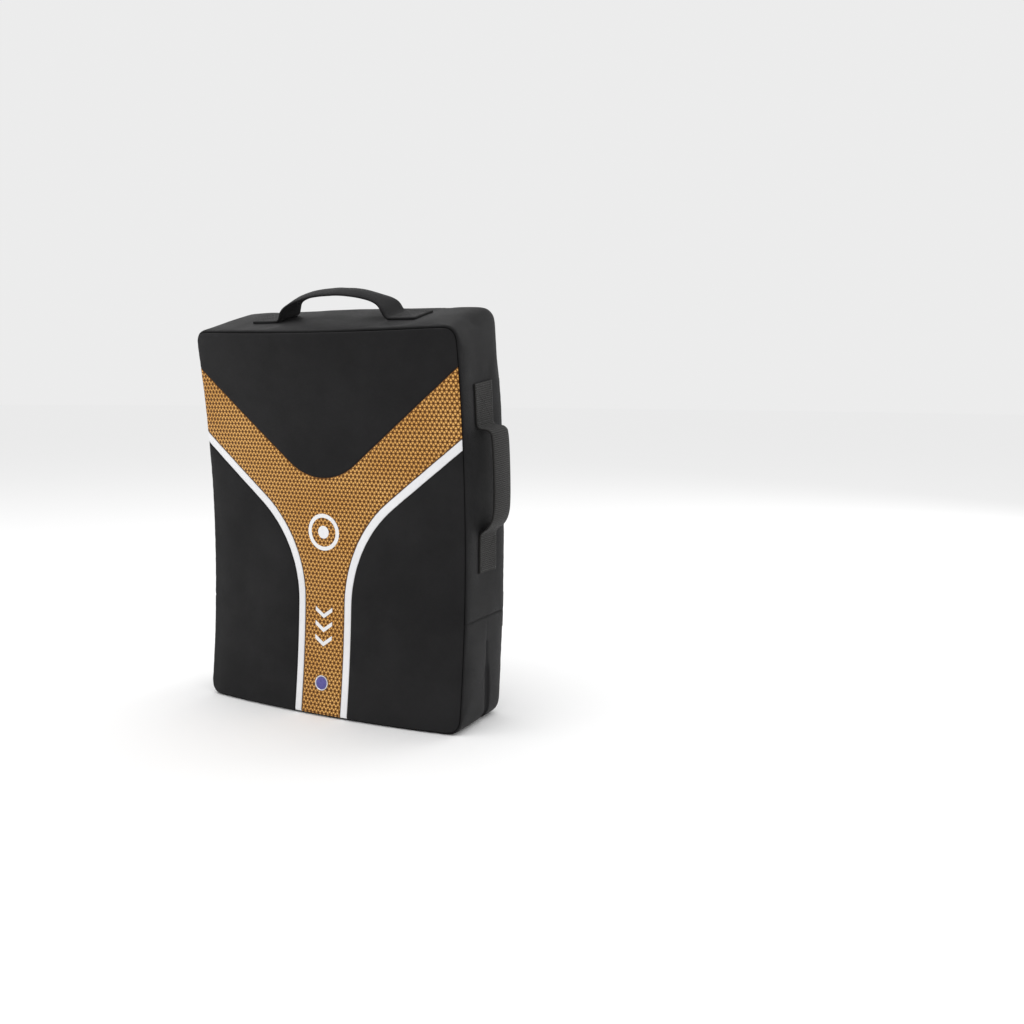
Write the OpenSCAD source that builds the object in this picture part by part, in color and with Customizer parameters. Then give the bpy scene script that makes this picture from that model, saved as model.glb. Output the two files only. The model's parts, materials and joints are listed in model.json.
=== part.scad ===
// Curved kick shield: a bent slab of layered foam in a sewn cover, with a carry handle on top,
// a loop on each side, a padded grip, two forearm loops behind, and a zip under the base.
// +Z is up, the striking face looks to -Y, and the origin is the middle of the base.

/* [Shield body] */
// Width from side to side
width = 434; // [360:2:520]
// Thickness from striking face to back at the sides
depth = 120; // [90:1:150]
// Height of the top's back edge above the floor
height = 576; // [480:1:640]
// Radius of the lengthwise bend, at the striking face
bend_radius = 1700; // [1200:10:3000]
// Height at which the striking face stands upright
bend_centre = 230; // [150:1:320]
// Swell of the striking face across its width
front_crown = 16; // [4:0.5:24]
// Swell of the back across its width
back_crown = 15; // [4:0.5:24]
// Slope of the top, down to the front, in degrees
top_slope = 16; // [0:0.5:24]
// Radius of the bottom corners
corner_bottom = 22; // [8:1:40]
// Radius of the top corners
corner_top = 20; // [8:1:40]

/* [Cover] */
// Thickness of the cover panels
skin = 1.5; // [1:0.1:3]
// Section of the welt sewn round the striking face and the back
welt = 3; // [2:0.5:6]
// Height of the seam between the upper and lower gusset
gusset_seam = 150; // [100:1:200]
// Free gap between panels of the cover
seam_gap = 0.2; // [0.1:0.05:0.5]

/* [Striking face panels] */
// Height at the side edge of the top of the gold arms
arm_top = 492; // [440:1:540]
// Height at the side edge of the foot of the gold arms
arm_foot = 400; // [340:1:430]
// Height at the side edge of the foot of the white stripes
stripe_foot = 384; // [330:1:425]
// Rise of the arms for each millimetre of width
arm_rise = 0.8; // [0.6:0.01:1.2]
// Half width of the gold stem
stem_half = 33; // [20:0.5:60]
// Half width over both white stripes at the stem
stripe_half = 45; // [30:0.5:80]
// Radius where the arms bend into the stem
arm_bend = 190; // [80:1:200]
// Radius of the foot of the upper black panel
vee_radius = 84; // [5:1:110]

/* [Webbing and loops] */
// Width of the webbing
webbing = 50; // [38:1:60]
// Thickness of one layer of webbing
webbing_layer = 2; // [1.5:0.1:3]
// Lower edge of the upper band
upper_band_foot = 353; // [320:1:400]
// Lower edge of the lower band
lower_band_foot = 125; // [90:1:160]
// Distance of each forearm loop from the middle
forearm_x = 100; // [70:1:140]
// Stand-off of the forearm loops
forearm_rise = 46; // [30:1:70]
// Thickness of a forearm loop
forearm_layer = 4; // [3:0.5:6]
// Height of the middle of each side loop
side_loop_height = 340; // [280:1:400]
// Half of the length of a side loop
side_loop_half = 72; // [55:1:90]
// Stand-off of the side loops
side_rise = 27; // [18:1:45]
// Thickness of a side loop
side_layer = 5; // [3:0.5:8]
// Largest swing of a forearm or side loop to each side, in degrees
loop_swing = 15; // [5:1:20]

/* [Carry handle] */
// Half of the length of the carry handle
carry_half = 86; // [75:1:130]
// Height of the carry handle over the top
carry_rise = 42; // [30:1:60]
// Width of the carry handle
carry_width = 36; // [26:1:50]
// Thickness of the carry handle
carry_layer = 5; // [4:0.5:8]
// Largest swing of the carry handle to each side, in degrees
carry_swing = 25; // [10:1:30]
// Half of the length over both sewn tabs
carry_tabs_half = 137; // [120:1:180]

/* [Rear grip] */
// Height of the rear grip
grip_height = 485; // [440:1:520]
// Half of the length of the grip between its plates
grip_half = 98; // [70:1:120]
// Bow of the grip away from the back
grip_bow = 44; // [20:1:55]
// Radius of the padded sleeve
grip_radius = 15.5; // [10:0.5:20]
// Wall of the sleeve
grip_wall = 2; // [1:0.5:4]
// Largest swing of the grip up or down, in degrees
grip_swing = 15; // [5:1:20]
// Width of an end plate
plate_width = 34; // [24:1:44]
// Height of an end plate
plate_tall = 66; // [50:1:80]
// Thickness of an end plate
plate_layer = 2.6; // [1.5:0.1:4]
// Radius of a rivet head
rivet_head = 4.2; // [3:0.1:6]
// Radius of a rivet shank
rivet_shank = 1.8; // [1:0.1:2.5]

/* [Zip] */
// Distance of the zip behind the middle of the base
zip_offset = 16; // [10:0.5:30]
// Gap of the cover over the zip
zip_gap = 12; // [10:0.5:16]
// Height at which the zip ends on each side
zip_top = 88; // [60:1:120]
// Depth of the groove over the zip
zip_groove = 9; // [8:0.5:12]
// Distance of the parked slider from the middle
slider_x = 150; // [100:1:170]

/* [Hidden] */
$fn = 96;
half = width / 2;
far_radius = bend_radius + depth;
reach_front = sqrt(pow(bend_radius, 2) - pow(bend_centre, 2));
reach_back = sqrt(pow(far_radius, 2) - pow(bend_centre, 2));
axis_y = -(reach_front + reach_back) / 2;
top_y = axis_y + sqrt(pow(far_radius, 2) - pow(height - bend_centre, 2));
front_top_y = axis_y + sqrt(pow(bend_radius, 2) - pow(height - 34 - bend_centre, 2));
carry_y = (top_y + front_top_y) / 2;
carry_z = height + tan(top_slope) * (carry_y - top_y);
sweep_low = 11;
sweep_high = 16;
clear = 0.3;
big = 900;
foam_front = 28;
foam_back = 92;
band_low = 0.1;
band_high = band_low + webbing_layer;
loop_start = (band_high + 0.6 + webbing / 2 * sin(loop_swing)) / cos(loop_swing);
forearm_start = loop_start + 2.1;
carry_start = (band_high + 0.6 + carry_width / 2 * sin(carry_swing)) / cos(carry_swing);
grip_start = (plate_layer + 0.9 + grip_radius * sin(grip_swing)) / cos(grip_swing);
forearm_low = lower_band_foot + webbing + 2;
forearm_high = upper_band_foot - 2;
forearm_mid = (forearm_low + forearm_high) / 2;
forearm_half = (forearm_high - forearm_low) / 2;
grip_lean = asin((grip_height - bend_centre) / far_radius);
grip_arc = (pow(grip_half, 2) + pow(grip_bow, 2)) / (2 * grip_bow);
plate_x = grip_half + 12;
zip_tape_low = 4.4;
zip_tape_high = 5.2;

// swell of a surface at a depth behind the striking face
function crown(d) = -front_crown + (front_crown + back_crown) * d / depth;
// how far a surface stands from the bend's axis
function bend_at(x, d) = bend_radius + d + crown(d) * (1 - pow(2 * x / width, 2));
// y of a surface at a depth, at a place on the shield
function skin_y(x, z, d) = axis_y + sqrt(pow(bend_at(x, d), 2) - pow(z - bend_centre, 2));

// everything nearer to the striking face than a depth, in section across the width
module nearer(d) {
  c = crown(d);
  r = (pow(half, 2) + pow(c, 2)) / (2 * abs(c));
  // every surface is drawn with corners at the same places across the width
  steps = 2 * round(900 / asin((half - 1.5) / r));
  if (c > 0) {
    intersection() {
      translate([bend_radius - 60, -half - 8]) square([depth + 160, width + 16]);
      translate([bend_radius + d + c - r, 0]) circle(r, $fn = steps);
    }
  } else {
    difference() {
      translate([bend_radius - 60, -half - 8]) square([60 + d + 6, width + 16]);
      translate([bend_radius + d + c + r, 0]) circle(r, $fn = steps);
    }
  }
}

// a bent sheet between two depths, wider and taller than the shield
module sheet(d0, d1) {
  translate([0, axis_y, bend_centre]) rotate([90, 0, 90]) rotate([0, 0, -sweep_low])
    rotate_extrude(angle = sweep_low + sweep_high, $fn = 720) difference() {
      nearer(d1);
      nearer(d0);
    }
}

module upright() {
  rotate([90, 0, 0]) linear_extrude(height = 700, center = true) children();
}

module outline(inset, corner) {
  w = half - inset;
  r = corner - inset;
  translate([-w, r]) square([2 * w, big]);
  translate([-w + r, 0]) square([2 * (w - r), r + 1]);
  translate([-w + r, r]) circle(r);
  translate([w - r, r]) circle(r);
}

// the silhouette from the front, drawn in by an inset
module envelope(inset) {
  intersection() {
    upright() translate([0, inset]) outline(inset, corner_bottom);
    translate([0, top_y, height]) rotate([top_slope, 0, 0]) upright()
      translate([0, -inset]) mirror([0, 1]) outline(inset, corner_top);
  }
}

module slice(z0, z1) {
  translate([-big / 2, -big / 2, z0]) cube([big, big, z1 - z0]);
}

module face_skin() {
  intersection() {
    sheet(0, skin);
    envelope(welt + 0.1);
  }
}

// the space for the zip, all round the base
module zip_channel(wide, from, to) {
  intersection() {
    translate([-half, zip_offset - wide / 2, -5]) cube([width, wide, zip_top + 5]);
    difference() {
      envelope(from);
      envelope(to);
    }
  }
}

module rivet_places() {
  for (side = [-1, 1]) {
    for (up = [-21, 21]) {
      x = side * (plate_x + 6);
      z = grip_height + up;
      lean = asin((z - bend_centre) / bend_at(x, depth));
      turn = atan(8 * back_crown * x / pow(width, 2));
      translate([x, skin_y(x, z, depth), z]) rotate([0, 0, -turn]) rotate([lean - 90, 0, 0])
        children();
    }
  }
}

// The striking face
module lower_zone(half_stem, side_z, r) {
  // below the arm and beside the stem, rounded where the two meet
  turn = atan(arm_rise);
  cx = half_stem + r;
  tx = cx - r * sin(turn);
  reach = side_z - arm_rise * (half - tx);
  cz = reach - r * cos(turn);
  corner_z = side_z - arm_rise * (half - half_stem);
  difference() {
    polygon([[half_stem, -20], [half_stem, corner_z], [half + 20, side_z + 20 * arm_rise],
      [half + 20, -20]]);
    difference() {
      polygon([[half_stem - 5, cz], [cx, cz], [tx - 5 * sin(turn), reach + 5 * cos(turn)],
        [half_stem - 5, corner_z + 5]]);
      translate([cx, cz]) circle(r, $fn = 180);
    }
  }
}

module vee_zone() {
  // flat sides that meet in a rounded foot
  rise = arm_rise * 1.03;
  turn = atan(rise);
  tip = arm_top - rise * half;
  foot_z = tip + vee_radius / cos(turn);
  tx = vee_radius * sin(turn);
  tz = foot_z - vee_radius * cos(turn);
  difference() {
    polygon([[0, tip], [-half - 20, tip + (half + 20) * rise], [-half - 20, big],
      [half + 20, big], [half + 20, tip + (half + 20) * rise]]);
    difference() {
      polygon([[0, foot_z], [-tx - 3 * sin(turn), tz - 3 * cos(turn)], [0, tip - 8],
        [tx + 3 * sin(turn), tz - 3 * cos(turn)]]);
      translate([0, foot_z]) circle(vee_radius, $fn = 180);
    }
  }
}

module flank_zone() {
  lower_zone(stripe_half, stripe_foot, arm_bend - 10);
}

module stripe_zone() {
  difference() {
    lower_zone(stem_half, arm_foot, arm_bend);
    lower_zone(stripe_half - seam_gap, stripe_foot + seam_gap, arm_bend - 10);
  }
}

module vee_panel() {
  color([0.1, 0.1, 0.105]) intersection() {
    face_skin();
    upright() vee_zone();
  }
}

module gold_panel() {
  color([0.76, 0.5, 0.2]) difference() {
    face_skin();
    upright() translate([0, -seam_gap]) vee_zone();
    upright() lower_zone(stem_half - seam_gap, arm_foot + seam_gap, arm_bend);
    mirror([1, 0, 0]) upright() lower_zone(stem_half - seam_gap, arm_foot + seam_gap, arm_bend);
  }
}

module stripe_right() {
  color([0.92, 0.92, 0.93]) intersection() {
    face_skin();
    upright() stripe_zone();
  }
}

module stripe_left() {
  mirror([1, 0, 0]) stripe_right();
}

module flank_right() {
  color([0.1, 0.1, 0.105]) intersection() {
    face_skin();
    upright() flank_zone();
  }
}

module flank_left() {
  mirror([1, 0, 0]) flank_right();
}

module front_welt() {
  color([0.07, 0.07, 0.075]) difference() {
    intersection() {
      sheet(0, welt);
      envelope(0);
    }
    envelope(welt);
  }
}

module back_welt() {
  color([0.07, 0.07, 0.075]) difference() {
    intersection() {
      sheet(depth - welt, depth);
      envelope(0);
    }
    envelope(welt);
  }
}

module back_panel() {
  color([0.11, 0.11, 0.115]) difference() {
    intersection() {
      sheet(depth - skin, depth);
      envelope(welt + 0.1);
    }
    rivet_places() cylinder(r = rivet_shank + 0.15, h = 20, center = true);
  }
}

module gusset() {
  difference() {
    intersection() {
      sheet(welt + 0.1, depth - welt - 0.1);
      envelope(0);
    }
    envelope(skin);
  }
}

module upper_gusset() {
  color([0.1, 0.1, 0.105]) intersection() {
    gusset();
    slice(gusset_seam + seam_gap, height + 60);
  }
}

module lower_gusset_front() {
  color([0.1, 0.1, 0.105]) difference() {
    intersection() {
      gusset();
      translate([-big / 2, -200, -20]) cube([big, 200 + zip_offset - 0.2, gusset_seam + 20]);
    }
    translate([-half - 5, zip_offset - zip_gap / 2, -20]) cube([width + 10, 40, zip_top + 20]);
  }
}

module lower_gusset_rear() {
  color([0.1, 0.1, 0.105]) difference() {
    intersection() {
      gusset();
      translate([-big / 2, zip_offset + 0.2, -20]) cube([big, 200, gusset_seam + 20]);
    }
    translate([-half - 5, zip_offset - 40 + zip_gap / 2, -20])
      cube([width + 10, 40, zip_top + 20]);
  }
}

// The filling
module filling(d0, d1) {
  intersection() {
    sheet(d0, d1);
    envelope(welt + 0.2);
  }
}

module impact_foam() {
  color([0.2, 0.21, 0.24]) filling(skin + 0.1, foam_front);
}

module core_foam() {
  color([0.36, 0.38, 0.42]) difference() {
    filling(foam_front + 0.1, foam_back);
    zip_channel(32, -5, zip_groove);
  }
}

module back_foam() {
  color([0.27, 0.28, 0.31]) difference() {
    filling(foam_back + 0.1, depth - skin - 0.1);
    rivet_places() translate([0, 0, -10]) cylinder(r = 8, h = 20);
  }
}

// Marks and badge
module aim_mark() {
  color([0.93, 0.93, 0.94]) intersection() {
    sheet(-0.5, -0.05);
    translate([0, 0, 262]) rotate([90, 0, 0]) linear_extrude(height = 700, center = true) {
      difference() {
        circle(26);
        circle(20.5);
      }
      circle(9);
    }
  }
}

module chevron_marks() {
  color([0.93, 0.93, 0.94]) intersection() {
    sheet(-0.5, -0.05);
    upright() for (i = [0:2]) {
      translate([0, 100 + 20 * i]) {
        polygon([[-14, 10], [0, 0], [14, 10], [14, 16], [0, 6], [-14, 16]]);
      }
    }
  }
}

module badge() {
  color([0.55, 0.57, 0.62]) intersection() {
    sheet(-1.3, -0.05);
    translate([0, 0, 48]) rotate([90, 0, 0]) linear_extrude(height = 700, center = true) circle(11);
  }
}

module rear_mark() {
  color([0.9, 0.9, 0.91]) intersection() {
    sheet(depth + 0.05, depth + 0.5);
    upright() for (i = [-1:1]) {
      translate([34 * i, 54]) polygon([[-15, 0], [9, 0], [17, 30], [-7, 30]]);
    }
  }
}

// Webbing on the back
module band(foot) {
  intersection() {
    sheet(depth + band_low, depth + band_high);
    translate([-half + 1, -big / 2, foot]) cube([width - 2, big, webbing]);
  }
}

module upper_band() {
  color([0.085, 0.08, 0.075]) band(upper_band_foot);
}

module lower_band() {
  color([0.085, 0.08, 0.075]) band(lower_band_foot);
}

// Half of an arch's outline: up a flat side, round a shoulder, to the middle of the crest
function arch_side(reach, rise, crest, shoulder, start) = let(
    x = reach - shoulder,
    up = rise - crest + sqrt(pow(crest - shoulder, 2) - pow(x, 2)),
    lean = atan2(x, up - rise + crest),
    from = start > up ? asin((start - up) / shoulder) : 0,
    turn = 90 - lean - from
  ) concat(
    start < up ? [[-reach, start]] : [],
    [for (i = [0:10]) [-x - shoulder * cos(from + turn * i / 10), up + shoulder * sin(from + turn * i / 10)]],
    [for (i = [1:9]) [-crest * sin(lean * (1 - i / 9)), rise - crest + crest * cos(lean * (1 - i / 9))]]
  );

function across(side) = [for (i = [len(side) - 2:-1:0]) [-side[i][0], side[i][1]]];

function turned(path) = [for (i = [len(path) - 1:-1:0]) path[i]];

// A strap bent into an arch, in section: flat sides, round shoulders and a gently curved crest
module arch_strap(reach, rise, crest, shoulder, layer, start) {
  outer = arch_side(reach, rise, crest, shoulder, start);
  inner = arch_side(reach - layer, rise - layer, crest - layer, shoulder - layer, start);
  polygon(concat(outer, across(outer), turned(concat(inner, across(inner)))));
}

module knuckle(radius, layer) {
  intersection() {
    translate([0, 0, -layer / 2]) cylinder(r = radius, h = layer);
    translate([-radius - 1, band_low + 0.3, -layer]) cube([2 * radius + 2, radius + 5, 2 * layer]);
  }
}

forearm_y = skin_y(forearm_x, forearm_mid, depth) - 1.5;

module forearm_feet(x) {
  for (end = [-1, 1]) {
    z = forearm_mid + end * (forearm_half - forearm_layer / 2);
    intersection() {
      translate([x, forearm_y, z]) translate([0, 0, -forearm_layer / 2])
        cylinder(r = forearm_start - clear, h = forearm_layer);
      sheet(depth + band_low, depth + 40);
    }
    intersection() {
      sheet(depth + band_low, depth + band_high);
      translate([x - webbing / 2, 0, z - (end > 0 ? 16 : forearm_layer / 2)])
        cube([webbing, big, 16 + forearm_layer / 2]);
    }
  }
}

module forearm_loop(x) {
  translate([x - webbing / 2, forearm_y, forearm_mid]) rotate([90, 0, 90])
    linear_extrude(height = webbing) rotate([0, 0, -90])
      arch_strap(forearm_half, forearm_rise, 420, 22, forearm_layer, forearm_start);
}

module forearm_feet_left() {
  color([0.085, 0.08, 0.075]) forearm_feet(-forearm_x);
}

module forearm_feet_right() {
  color([0.085, 0.08, 0.075]) forearm_feet(forearm_x);
}

module forearm_loop_left() {
  color([0.095, 0.09, 0.085]) forearm_loop(-forearm_x);
}

module forearm_loop_right() {
  color([0.095, 0.09, 0.085]) forearm_loop(forearm_x);
}

// Webbing on the sides
side_y = axis_y + sqrt(pow(bend_radius + depth / 2, 2) - pow(side_loop_height - bend_centre, 2)) - 1.5;

module side_feet_right() {
  color([0.085, 0.08, 0.075]) {
    intersection() {
      sheet(depth / 2 - webbing / 2, depth / 2 + webbing / 2);
      translate([half + band_low, -big / 2, side_loop_height - side_loop_half - 54])
        cube([webbing_layer, big, 54 + side_layer]);
    }
    intersection() {
      sheet(depth / 2 - webbing / 2, depth / 2 + webbing / 2);
      translate([half + band_low, -big / 2, side_loop_height + side_loop_half - side_layer])
        cube([webbing_layer, big, 60 + side_layer]);
    }
    for (end = [-1, 1]) {
      z = side_loop_height + end * (side_loop_half - side_layer / 2);
      translate([half, side_y, z]) rotate([0, 0, -90]) knuckle(loop_start - clear, side_layer);
    }
  }
}

module side_feet_left() {
  mirror([1, 0, 0]) side_feet_right();
}

module side_loop_right() {
  color([0.095, 0.09, 0.085]) translate([half, side_y, side_loop_height]) rotate([90, 0, 0])
    linear_extrude(height = webbing, center = true) rotate([0, 0, -90])
      arch_strap(side_loop_half, side_rise, 700, 14, side_layer, loop_start);
}

module side_loop_left() {
  mirror([1, 0, 0]) side_loop_right();
}

// Carry handle on the top
module on_top() {
  translate([0, carry_y, carry_z]) rotate([top_slope, 0, 0]) children();
}

module carry_feet() {
  color([0.1, 0.1, 0.105]) on_top() {
    for (side = [-1, 1]) {
      x = side * (carry_half - carry_layer / 2);
      intersection() {
        translate([x - carry_layer / 2, 0, 0]) rotate([0, 90, 0])
          cylinder(r = carry_start - clear, h = carry_layer);
        translate([x - 10, -30, band_low]) cube([20, 60, 40]);
      }
      mid = side * (carry_half + carry_tabs_half - carry_layer) / 2;
      long = carry_tabs_half - carry_half + carry_layer;
      translate([mid - long / 2, -webbing / 2, band_low]) cube([long, webbing, webbing_layer]);
    }
  }
}

module carry_handle() {
  color([0.1, 0.1, 0.105]) on_top() rotate([90, 0, 0])
    linear_extrude(height = carry_width, center = true)
      arch_strap(carry_half, carry_rise, 140, 24, carry_layer, carry_start);
}

// Grip on the back
module on_back() {
  translate([0, axis_y, bend_centre]) rotate([grip_lean, 0, 0])
    translate([0, bend_at(grip_half, depth), 0]) children();
}

module grip_plate(x) {
  difference() {
    intersection() {
      sheet(depth + band_low, depth + band_low + plate_layer);
      translate([x, 0, grip_height]) upright() intersection() {
        square([plate_width, plate_tall], center = true);
        rotate(45) square(plate_tall * 0.86, center = true);
      }
    }
    rivet_places() cylinder(r = rivet_shank + 0.15, h = 20, center = true);
  }
  // the turned-up end that holds the sleeve
  on_back() intersection() {
    translate([sign(x) * (grip_half - 2) - 2.5, 0, 0]) rotate([0, 90, 0])
      cylinder(r = grip_start - clear, h = 5);
    translate([sign(x) * grip_half - 20, plate_layer, -20]) cube([40, 40, 40]);
  }
}

module grip_plate_left() {
  color([0.09, 0.09, 0.095]) grip_plate(-plate_x);
}

module grip_plate_right() {
  color([0.09, 0.09, 0.095]) grip_plate(plate_x);
}

module grip_run(radius) {
  on_back() intersection() {
    translate([0, grip_bow - grip_arc, 0]) rotate([0, 0, 20])
      rotate_extrude(angle = 140, $fn = 240) translate([grip_arc, 0]) circle(radius);
    translate([-grip_half - 0.5, grip_start, -40]) cube([2 * grip_half + 1, 100, 80]);
  }
}

module grip_sleeve() {
  color([0.12, 0.12, 0.125]) difference() {
    grip_run(grip_radius);
    grip_run(grip_radius - grip_wall);
  }
}

module grip_core() {
  color([0.3, 0.3, 0.32]) grip_run(grip_radius - grip_wall - 0.1);
}

module rivets() {
  color([0.75, 0.75, 0.77]) rivet_places() {
    translate([0, 0, -5.5]) cylinder(r = rivet_shank, h = 6.7 + plate_layer + band_low);
    intersection() {
      translate([0, 0, plate_layer + 1 - 2.2]) sphere(r = sqrt(pow(rivet_head, 2) + pow(2.2, 2)));
      translate([-10, -10, plate_layer + 1]) cube([20, 20, 10]);
    }
  }
}

module rivet_washers() {
  color([0.6, 0.6, 0.62]) rivet_places() difference() {
    translate([0, 0, -skin - 2.4]) cylinder(r = 6.5, h = 1);
    translate([0, 0, -10]) cylinder(r = rivet_shank + 0.15, h = 20);
  }
}

// The zip under the base
module zip_strip(y0, y1, from, to) {
  intersection() {
    translate([-half, zip_offset + y0, -5]) cube([width, y1 - y0, zip_top + 3]);
    difference() {
      envelope(from);
      envelope(to);
    }
  }
}

module zip_tape_front() {
  color([0.06, 0.06, 0.065]) zip_strip(-14, -3, zip_tape_low, zip_tape_high);
}

module zip_tape_rear() {
  color([0.06, 0.06, 0.065]) zip_strip(3, 14, zip_tape_low, zip_tape_high);
}

module zip_coil() {
  color([0.05, 0.05, 0.055]) {
    zip_strip(-2.9, -1.2, 3.8, 5.8);
    zip_strip(1.2, 2.9, 3.8, 5.8);
  }
}

module zip_slider() {
  color([0.45, 0.45, 0.47]) translate([slider_x, zip_offset, 0]) {
    translate([-6, -4.5, 2]) cube([12, 9, 1.3]);
    translate([-6, -4.5, 6.3]) cube([12, 9, 1.3]);
    translate([2, -0.7, 3]) cube([4, 1.4, 3.5]);
    for (side = [-1, 1]) {
      translate([5.9, side * 3.2 - 0.7, 1]) cube([3, 1.4, 2.3]);
    }
    translate([7.5, -3.5, 1.75]) rotate([-90, 0, 0]) cylinder(r = 0.6, h = 7, $fn = 32);
  }
}

module zip_pull() {
  color([0.5, 0.5, 0.52]) translate([slider_x + 7.5, zip_offset, 1.75]) rotate([90, 0, 0])
    linear_extrude(height = 4.2, center = true) difference() {
      union() {
        circle(1.2, $fn = 32);
        translate([0, -0.55]) square([20, 1.1]);
      }
      circle(0.8, $fn = 32);
    }
}

impact_foam();
core_foam();
back_foam();
vee_panel();
gold_panel();
stripe_left();
stripe_right();
flank_left();
flank_right();
front_welt();
upper_gusset();
lower_gusset_front();
lower_gusset_rear();
back_welt();
back_panel();
aim_mark();
chevron_marks();
badge();
rear_mark();
upper_band();
lower_band();
forearm_feet_left();
forearm_feet_right();
forearm_loop_left();
forearm_loop_right();
side_feet_left();
side_feet_right();
side_loop_left();
side_loop_right();
carry_feet();
carry_handle();
grip_plate_left();
grip_plate_right();
grip_sleeve();
grip_core();
rivets();
rivet_washers();
zip_tape_front();
zip_tape_rear();
zip_coil();
zip_slider();
zip_pull();
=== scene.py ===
import bpy
import bmesh
import json
import math
from mathutils import Matrix, Vector, kdtree, noise
from mathutils.bvhtree import BVHTree


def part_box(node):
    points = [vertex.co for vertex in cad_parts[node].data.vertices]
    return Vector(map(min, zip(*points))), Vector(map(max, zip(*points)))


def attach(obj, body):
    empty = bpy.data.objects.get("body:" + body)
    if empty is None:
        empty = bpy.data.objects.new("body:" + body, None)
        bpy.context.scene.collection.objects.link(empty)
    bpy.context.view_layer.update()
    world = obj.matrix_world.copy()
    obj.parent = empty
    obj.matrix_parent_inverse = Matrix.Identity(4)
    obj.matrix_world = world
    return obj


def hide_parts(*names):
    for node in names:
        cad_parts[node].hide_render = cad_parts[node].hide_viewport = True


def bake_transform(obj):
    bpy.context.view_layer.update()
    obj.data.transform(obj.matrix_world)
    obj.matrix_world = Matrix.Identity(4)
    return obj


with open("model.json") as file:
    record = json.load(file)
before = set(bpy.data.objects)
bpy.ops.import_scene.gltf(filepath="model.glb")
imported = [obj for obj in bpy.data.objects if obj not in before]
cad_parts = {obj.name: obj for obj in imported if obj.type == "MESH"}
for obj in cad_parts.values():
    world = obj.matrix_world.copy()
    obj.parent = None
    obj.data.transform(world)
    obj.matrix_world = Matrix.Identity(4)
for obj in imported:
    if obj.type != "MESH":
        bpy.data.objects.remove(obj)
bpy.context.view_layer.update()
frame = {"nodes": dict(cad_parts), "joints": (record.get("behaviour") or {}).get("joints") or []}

# Measures of the shield, in millimetres
HALF, DEPTH, TALL = 217.0, 120.0, 576.0
BEND, BEND_Z = 1700.0, 230.0
FRONT_SWELL, BACK_SWELL = 16.0, 15.0
TOP_SLOPE = math.radians(16)
CORNER = 21.0
SEAM_TOP = 485.0
GUSSET_Z = 150.0
ZIP_Y, ZIP_TOP = 16.0, 88.0
AXIS_Y = -(math.sqrt(BEND ** 2 - BEND_Z ** 2) + math.sqrt((BEND + DEPTH) ** 2 - BEND_Z ** 2)) / 2
TOP_Y = AXIS_Y + math.sqrt((BEND + DEPTH) ** 2 - (TALL - BEND_Z) ** 2)
ARM_RISE = 0.8


def box_mm(name):
    lo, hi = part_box(name)
    return Vector(lo) * 1000, Vector(hi) * 1000


UPPER_BAND = [c.z for c in box_mm("upper_band")]
LOWER_BAND = [c.z for c in box_mm("lower_band")]


def smooth(a, b, v):
    t = max(0.0, min(1.0, (v - a) / (b - a)))
    return t * t * (3 - 2 * t)


def skin_y(x, z, d):
    """the cover's y at a depth behind the striking face"""
    swell = -FRONT_SWELL + (FRONT_SWELL + BACK_SWELL) * d / DEPTH
    reach = BEND + d + swell * (1 - (x / HALF) ** 2)
    return AXIS_Y + math.sqrt(reach ** 2 - (z - BEND_Z) ** 2)


def top_z(x, d):
    z = 560.0
    for _ in range(4):
        z = TALL + math.tan(TOP_SLOPE) * (skin_y(x, z, d) - TOP_Y)
    return z


# ---- materials
def put(tree, kind, links=None, **props):
    n = tree.nodes.new(kind)
    for key, value in props.items():
        setattr(n, key, value)
    for key, value in (links or {}).items():
        if isinstance(value, bpy.types.NodeSocket):
            tree.links.new(value, n.inputs[key])
        else:
            n.inputs[key].default_value = value
    return n


def calc(tree, op, a, b=None, c=None):
    links = {0: a}
    if b is not None:
        links[1] = b
    if c is not None:
        links[2] = c
    return put(tree, "ShaderNodeMath", links, operation=op).outputs[0]


def times(tree, a, b):
    return calc(tree, "MULTIPLY", a, b)


def plus(tree, a, b):
    return calc(tree, "ADD", a, b)


def between(tree, value, lo, hi, to_lo=0.0, to_hi=1.0):
    return put(tree, "ShaderNodeMapRange", {0: value, 1: lo, 2: hi, 3: to_lo, 4: to_hi},
               interpolation_type="SMOOTHSTEP").outputs[0]


def new_group(name, inputs, outputs):
    tree = bpy.data.node_groups.new(name, "ShaderNodeTree")
    for label, kind, start in inputs:
        s = tree.interface.new_socket(name=label, in_out="INPUT", socket_type=kind)
        if start is not None:
            s.default_value = start
    for label, kind in outputs:
        tree.interface.new_socket(name=label, in_out="OUTPUT", socket_type=kind)
    return tree, tree.nodes.new("NodeGroupInput"), tree.nodes.new("NodeGroupOutput")


FLOAT, VEC = "NodeSocketFloat", "NodeSocketVector"


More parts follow.
